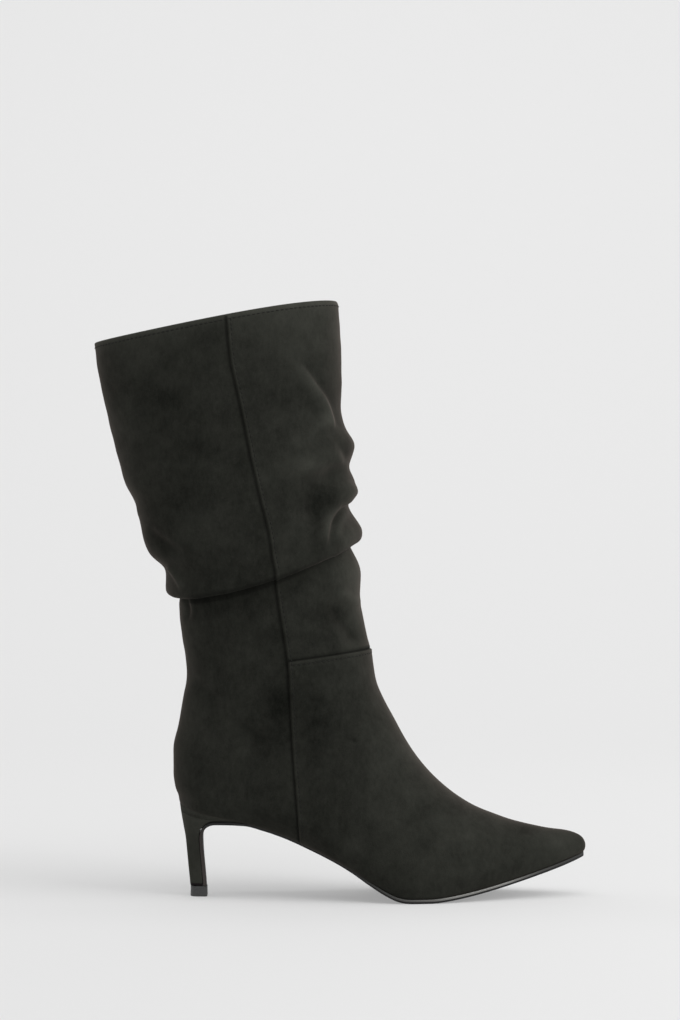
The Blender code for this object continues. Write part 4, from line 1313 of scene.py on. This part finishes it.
def heelMaterial():
    shade, patch, brush, tuft, facing, height = nappedShade("heel_suede", heelLook["stretch"])
    tone = shade.toned(heelLook["tone"], (patch, brush, tuft), heelLook["strengths"])
    body = shade.mixed(tone, nap["dark"], nap["light"])
    # Painted sheen: the nap's pale edge colour comes in as the heel turns from the eye
    rim = (facing ** heelLook["rimPower"] * heelLook["rim"]).held()
    trimmed = heelLow + 0.9 * heelLook["band"], heelLow + 1.1 * heelLook["band"]
    band = 1.0 - shade.along("Z").above(*trimmed)
    colour = shade.mixed(band, shade.mixed(rim, body, nap["edge"]), heelLook["bandColour"])
    return shade.into(Base_Color=colour, Roughness=0.95 - band * 0.4,
                      Normal=shade.bump(height, heelLook["bump"], 0.0004))


makeHeel()

# The outsole: one sheet down the breast, round the corner, under the arch and the ball to the toe
sole = {
    "breastStations": 26,
    "cornerStations": 14,
    "shankStations": 60,
    "foreStations": 70,
    "acrossPoints": 9,
    "breastFade": 1.6,
    "leastHalf": 0.0009,
    "thinUnder": 0.006,         # the edge stands out less where half the sole is narrower than this
    "thinLeast": 0.15,
    "flatShare": 0.98,
    "beadFrom": 0.5,
    "sharpAngle": 60,
}
soleLook = {
    "tread": ((0.018, 0.016, 0.015), (0.050, 0.046, 0.042)),
    "bead": (0.012, 0.0125, 0.012),
    # painted glint: the pale colour laid on the polished stretch of the bead
    "glossAndPaintedGlint": (0.200, 0.198, 0.188),
    "trim": (0.009, 0.009, 0.0085),
    # the breast's edge: partly its own pink and partly painted light where it catches the lamps
    "breast": (0.050, 0.041, 0.038),
    "tone": 0.35,
    "strengths": (0.5, 0.8),
    "grain": 900.0,
    "scuff": 140.0,
}
# Its edge in section, from the tread up: share of the thickness, how far it stands out in millimetres.
# A dark chamfer leans in below, and a polished bead stands out above it.
edgeSection = (
    (0.00, -1.30), (0.10, -0.75), (0.28, -0.42), (0.46, -0.32), (0.54, -0.12),
    (0.66, 0.06), (0.80, 0.12), (0.92, 0.04), (1.00, -0.25),
)
# How polished the bead is, which also sets where its painted glint shows: along the sole, share
beadPolish = (
    (0.40, 0.00), (0.52, 0.25), (0.60, 0.45), (0.68, 1.00),
    (0.79, 1.00), (0.86, 0.35), (0.93, 0.12), (1.00, 0.05),
)


def shankHalfWidth(along, tip=soleLength):
    # The feather's half width, less the edge under the shank and more by it at the ball, rounded at the toe
    edge = soleEdge * (2.0 * float(forepart(along)) - 1.0)
    edge *= float(roundEnd(tip - along, 0.5 * toeRound * soleLength))
    return float(featherHalfWidth(along, tip)) + edge


def solePath():
    # Stations: along, height, way into the boot, thickness, half width, and 1 on the breast falling to 0
    cornerX, cornerZ = breastCorner()
    radius = heelBlock["breastRadius"]
    stations = []
    for u in np.linspace(0.0, 1.0, sole["breastStations"]):
        height = heelLow + (cornerZ - heelLow) * u
        stations.append((breastFront(height), height, -1.0, 0.0, breastSole, breastHalfWidth(height), 1.0))
    narrow, wide = breastHalfWidth(cornerZ), shankHalfWidth(cornerX)
    for turn in np.linspace(0.0, 0.5 * math.pi, sole["cornerStations"])[1:]:
        share = turn / (0.5 * math.pi)
        along, height = cornerX - radius * math.cos(turn), cornerZ + radius * math.sin(turn)
        half = narrow + (wide - narrow) * float(ease(share))
        thickness = breastSole + (shankSole - breastSole) * share
        onBreast = 1.0 - float(ease(share * sole["breastFade"]))
        stations.append((along, height, -math.cos(turn), math.sin(turn), thickness, half, onBreast))
    toe = (ridge[0][0] * soleLength + 0.5 * soleEdge) / soleLength
    start = cornerX / soleLength
    ball = arch[-1][0]
    shank = start + (ball - start) * np.linspace(0.0, 1.0, sole["shankStations"])[1:]
    fore = ball + (toe - ball) * np.sin(np.linspace(0.0, 0.5 * math.pi, sole["foreStations"]))[1:]
    for along in np.concatenate((shank, fore)) * soleLength:
        half = shankHalfWidth(along, toe * soleLength)
        stations.append((along, float(soleBottom(along)), 0.0, 1.0, float(soleThickness(along)), half, 0.0))
    return np.array(stations)


def makeOutsole():
    # The edge's section carried along the path of the sole, with a flat tread below and a flat top
    path = solePath()
    along, height, inX, inZ, thickness, half, breast = path.T
    half = np.maximum(half, sole["leastHalf"])
    middle = centreLine(along)
    up, out = np.array(edgeSection).T
    out = out * millimetre
    inner = np.linspace(-1.0, 1.0, sole["acrossPoints"])[1:-1]
    # Round each section: the tread, the outer edge upwards, the top, the inner edge downwards
    thin = np.clip(half / sole["thinUnder"], sole["thinLeast"], 1.0)[:, None]
    reach = half[:, None] + out[None, :] * thin
    edge = np.broadcast_to(up, reach.shape)
    tread = reach[:, :1] * inner[None, ::-1] * sole["flatShare"]
    top = reach[:, -1:] * inner[None, :] * sole["flatShare"]
    offset = np.concatenate((tread, -reach, top, reach[:, ::-1]), axis=1)
    depth = np.concatenate((0 * tread, edge, 0 * top + 1.0, edge[:, ::-1]), axis=1) * thickness[:, None]
    x = along[:, None] + inX[:, None] * depth - originAlong
    points = np.stack((x, middle[:, None] + offset, height[:, None] + inZ[:, None] * depth), axis=2)
    rows, columns = points.shape[:2]
    flat, edged = np.zeros(len(inner)), np.ones(len(up))
    onEdge = np.concatenate((flat, edged, flat, edged))
    upward = np.concatenate((flat, up, flat + 1.0, up[::-1]))
    faces = gridFaces(rows, columns)[:, ::-1].tolist()
    last = (rows - 1) * columns
    faces.append(tuple(range(columns)))
    faces.append(tuple(last + i for i in range(columns))[::-1])
    piece = newPiece("sole_sheet", points.reshape(-1, 3), faces, outsoleMaterial())
    piece.data.set_sharp_from_angle(angle=math.radians(sole["sharpAngle"]))
    onBead = upward > sole["beadFrom"]
    addFloats(piece, "bead", np.broadcast_to(onEdge * onBead, (rows, columns)))
    addFloats(piece, "trim", np.broadcast_to(onEdge * ~onBead, (rows, columns)))
    addFloats(piece, "breast", np.repeat(breast, columns))
    addFloats(piece, "polish", np.repeat(smooth(beadPolish, 1, along / soleLength), columns))
    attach(piece, "root")
    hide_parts("outsole")
    print("outsole made")


def outsoleMaterial():
    # Moulded rubber: a polished bead with a painted glint and a dull trim at its edge, a scuffed tread, a
    # pink edge up the breast whose pale tone is partly painted light
    shade = Shade("outsole_rubber", Roughness=0.5, Specular_IOR_Level=0.3, Coat_Roughness=0.15)
    bead, trim, breast, polish = (shade.read(name) for name in ("bead", "trim", "breast", "polish"))
    glossAndPaintedGlint = bead * polish * (1.0 - breast)
    grain = shade.noise(soleLook["grain"], 3.0, 0.6)
    scuff = shade.noise(soleLook["scuff"], 4.0, 0.7, shade.stretched((0.35, 1.0, 1.0)))
    tone = shade.toned(soleLook["tone"], (grain, scuff), soleLook["strengths"])
    colour = shade.mixed(tone, *soleLook["tread"])
    onBreast = (breast * (bead + trim)).held()
    for where, key in ((bead, "bead"), (glossAndPaintedGlint, "glossAndPaintedGlint"), (trim, "trim"), (onBreast, "breast")):
        colour = shade.mixed(where, colour, soleLook[key])
    height = grain * 0.5 + scuff * 0.5
    return shade.into(Base_Color=colour, Roughness=0.66 - glossAndPaintedGlint * 0.38, Coat_Weight=glossAndPaintedGlint * 0.5,
                      Normal=shade.bump(height, 0.25, 0.0003))


makeOutsole()

# The tip under the heel: a hard rubber block, round at the back and square to the front
tip = {
    "corner": 0.18,
    "cornerPoints": 6,
    "bevel": 0.0008,
    "bevelAngles": (30, 60, 90),
    "arcPoints": 30,
    "flank": 0.2,               # how far the straight sides run behind the middle, as a share of the reach
    "foot": 0.92,               # scale of the outline on the floor, and how far it widens up the bevel
    "footFlare": 0.08,
    "taper": 0.03,
    "top": 0.965,
    "grooves": 4,
    "grooveDepth": 0.012,
    "grooveFrom": 0.2,
    "grooveOver": 0.7,
    "grooveRows": 22,
    "sharpAngle": 50,
}
tipLook = {
    "dark": (0.034, 0.034, 0.034),
    "light": (0.080, 0.081, 0.081),
    "tone": 0.4,
    "strengths": (0.6, 0.9),
    "grain": 1500.0,
    "scuff": 420.0,
}


def makeTip():
    # One outline, half an ellipse behind and rounded corners in front, scaled row by row from the floor up
    length, width, tall = heelBlock["topLiftLength"], heelBlock["topLiftWidth"], heelBlock["topLiftHeight"]
    middle = heelBlock["rake"] + 0.5 * length - originAlong
    turns = np.radians(np.linspace(0.0, 180.0, tip["arcPoints"]))
    reach, half = 0.5 * length, 0.5 * width
    flank = tip["flank"]
    back = np.column_stack((-reach * (flank + (1.0 - flank) * np.sin(turns)), half * np.cos(turns)))
    corner = tip["corner"] * half
    turn = np.radians(np.linspace(-90.0, 0.0, tip["cornerPoints"]))
    first = np.column_stack((reach - corner + corner * np.cos(turn), -half + corner + corner * np.sin(turn)))
    second = np.column_stack((first[::-1, 0], -first[::-1, 1]))
    rim = np.vstack((back, first, second))
    # Rows: height and scale, with a rounded foot and shallow turned grooves
    rows = [(0.0, tip["foot"])]
    rows += [(tip["bevel"] * (1 - math.cos(a)), tip["foot"] + tip["footFlare"] * math.sin(a))
             for a in np.radians(tip["bevelAngles"])]
    for u in np.linspace(0.0, 1.0, tip["grooveRows"]):
        up = tip["grooveFrom"] + tip["grooveOver"] * u
        groove = tip["grooveDepth"] * (0.5 - 0.5 * math.cos(2 * math.pi * tip["grooves"] * u))
        rows.append((up * tall, 1.0 - tip["taper"] * up - groove))
    rows.append((tall, tip["top"]))
    count = len(rim)
    level, scale = (np.repeat(values, count) for values in zip(*rows))
    x, y = np.tile(rim, (len(rows), 1)).T
    points = np.column_stack((middle + x * scale, y * scale, level))
    faces = gridFaces(len(rows), count).tolist()
    faces.append(tuple(range(count))[::-1])
    faces.append(tuple(len(points) - count + i for i in range(count)))
    piece = newPiece("heel_tip", points, faces, tipMaterial())
    piece.data.set_sharp_from_angle(angle=math.radians(tip["sharpAngle"]))
    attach(piece, "root")
    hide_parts("top_lift")
    print("tip made")


def tipMaterial():
    # Hard rubber with a fine grain and scuffs that run round it
    shade = Shade("tip_rubber", Roughness=0.5, Specular_IOR_Level=0.45)
    grain = shade.noise(tipLook["grain"], 3.0, 0.6)
    scuff = shade.noise(tipLook["scuff"], 3.0, 0.7, shade.stretched((1.0, 1.0, 3.0)))
    tone = shade.toned(tipLook["tone"], (grain, scuff), tipLook["strengths"])
    colour = shade.mixed(tone, tipLook["dark"], tipLook["light"])
    return shade.into(Base_Color=colour, Roughness=0.42 + grain * 0.2, Normal=shade.bump(scuff, 0.3, 0.0002))


makeTip()

# The sock over the insole
sockLook = {
    "dark": (0.045, 0.038, 0.032),
    "light": (0.12, 0.10, 0.085),
    "tone": 0.40,
    "strengths": (0.5, -0.3),
    "grain": 900.0,
    "cloud": 50.0,
}


def sockMaterial():
    # Leather with a pebbled grain, darker in its creases
    shade = Shade("sock_leather", Roughness=0.7, Specular_IOR_Level=0.3)
    pebbles = {"Vector": shade.place, "Scale": sockLook["grain"]}
    grain = shade.node("TexVoronoi", {"feature": "SMOOTH_F1"}, pebbles)
    cloud = shade.noise(sockLook["cloud"], 3.0, 0.6)
    tone = shade.toned(sockLook["tone"], (cloud, grain), sockLook["strengths"])
    colour = shade.mixed(tone, sockLook["dark"], sockLook["light"])
    return shade.into(Base_Color=colour, Normal=shade.bump(grain, 0.3, 0.0003))


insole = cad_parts["insole"]
insole.data.materials.clear()
insole.data.materials.append(sockMaterial())
print("insole finished")


# The studio: a pale floor that sweeps up behind, and soft light from all round
studio = {
    "half": 6.0,
    "front": -6.0,
    "bendStart": 1.1,
    "bendRadius": 1.8,
    "bendPoints": 25,
    "wallTop": 4.0,
    "paleFrom": 0.2,            # the floor turns into the paler wall between these distances behind the boot
    "paleTo": 2.6,
    "floor": (0.44, 0.44, 0.44),
    "wall": (0.55, 0.55, 0.55),
    "glow": (0.305, 0.305, 0.305, 1.0),
    "air": 0.36,
}


def makeStudio():
    # A flat floor, a quarter of a circle up behind it and a straight wall, as wide strips
    turns = np.linspace(0.0, 0.5 * math.pi, studio["bendPoints"])
    radius = studio["bendRadius"]
    profile = [(studio["front"], 0.0)]
    profile += [(studio["bendStart"] + radius * math.sin(t), radius * (1 - math.cos(t))) for t in turns]
    profile.append((studio["bendStart"] + radius, studio["wallTop"]))
    points = [(x, y, z) for y, z in profile for x in (-studio["half"], studio["half"])]
    faces = [(2 * i, 2 * i + 1, 2 * i + 3, 2 * i + 2) for i in range(len(profile) - 1)]
    shade = Shade("pale_paper", Roughness=0.9, Specular_IOR_Level=0.1)
    pale = shade.along("Y").above(studio["paleFrom"], studio["paleTo"])
    colour = shade.mixed(pale, studio["floor"], studio["wall"])
    paper = shade.into(Base_Color=colour, Emission_Color=studio["glow"], Emission_Strength=1.0)
    floor = newPiece("pale_floor", points, faces, paper)
    world = bpy.data.worlds.new("studio_air")
    bpy.context.scene.world = world
    world.use_nodes = True
    sky = world.node_tree.nodes["Background"]
    sky.inputs["Color"].default_value = (1.0, 1.0, 1.0, 1.0)
    sky.inputs["Strength"].default_value = studio["air"]


# Soft boxes: where each stands, what it faces, its width and height, and its power
boxAim = (0.0, 0.0, 0.18)
softBoxes = {
    "top_box": ((0.2, -0.9, 2.3), boxAim, (1.8, 1.8), 19.5),
    "front_box": ((1.7, -0.8, 1.28), boxAim, (1.6, 1.6), 30.0),
    "back_box": ((-1.9, 0.4, 1.1), boxAim, (1.0, 1.6), 5.0),
    "wall_box": ((0.0, 0.5, 2.6), (0.0, 2.7, 0.6), (4.0, 1.0), 26.0),
}


def makeLights():
    for name, (place, aim, size, power) in softBoxes.items():
        light = bpy.data.lights.new(name, "AREA")
        light.shape = "RECTANGLE"
        light.size, light.size_y = size
        light.energy = power
        box = bpy.data.objects.new(name, light)
        box.location = place
        box.rotation_euler = (Vector(aim) - Vector(place)).to_track_quat("-Z", "Y").to_euler()
        bpy.context.scene.collection.objects.link(box)


# The camera stands level with the middle of the picture
view = {
    "distance": 1.8,
    "height": 0.239,
    "lens": 102.47,
    "sensor": 36.0,             # millimetres on the picture's long side
}


def makeCamera():
    lens = bpy.data.cameras.new("camera")
    lens.sensor_fit = "AUTO"
    lens.sensor_width = view["sensor"]
    lens.lens = view["lens"]
    camera = bpy.data.objects.new("camera", lens)
    camera.location = (0.0, -view["distance"], view["height"])
    camera.rotation_euler = (math.radians(90), 0.0, 0.0)
    bpy.context.scene.collection.objects.link(camera)
    bpy.context.scene.camera = camera
    bpy.context.scene.view_settings.view_transform = "Standard"


makeStudio()
makeLights()
makeCamera()
print("studio made")

bpy.context.view_layer.update()
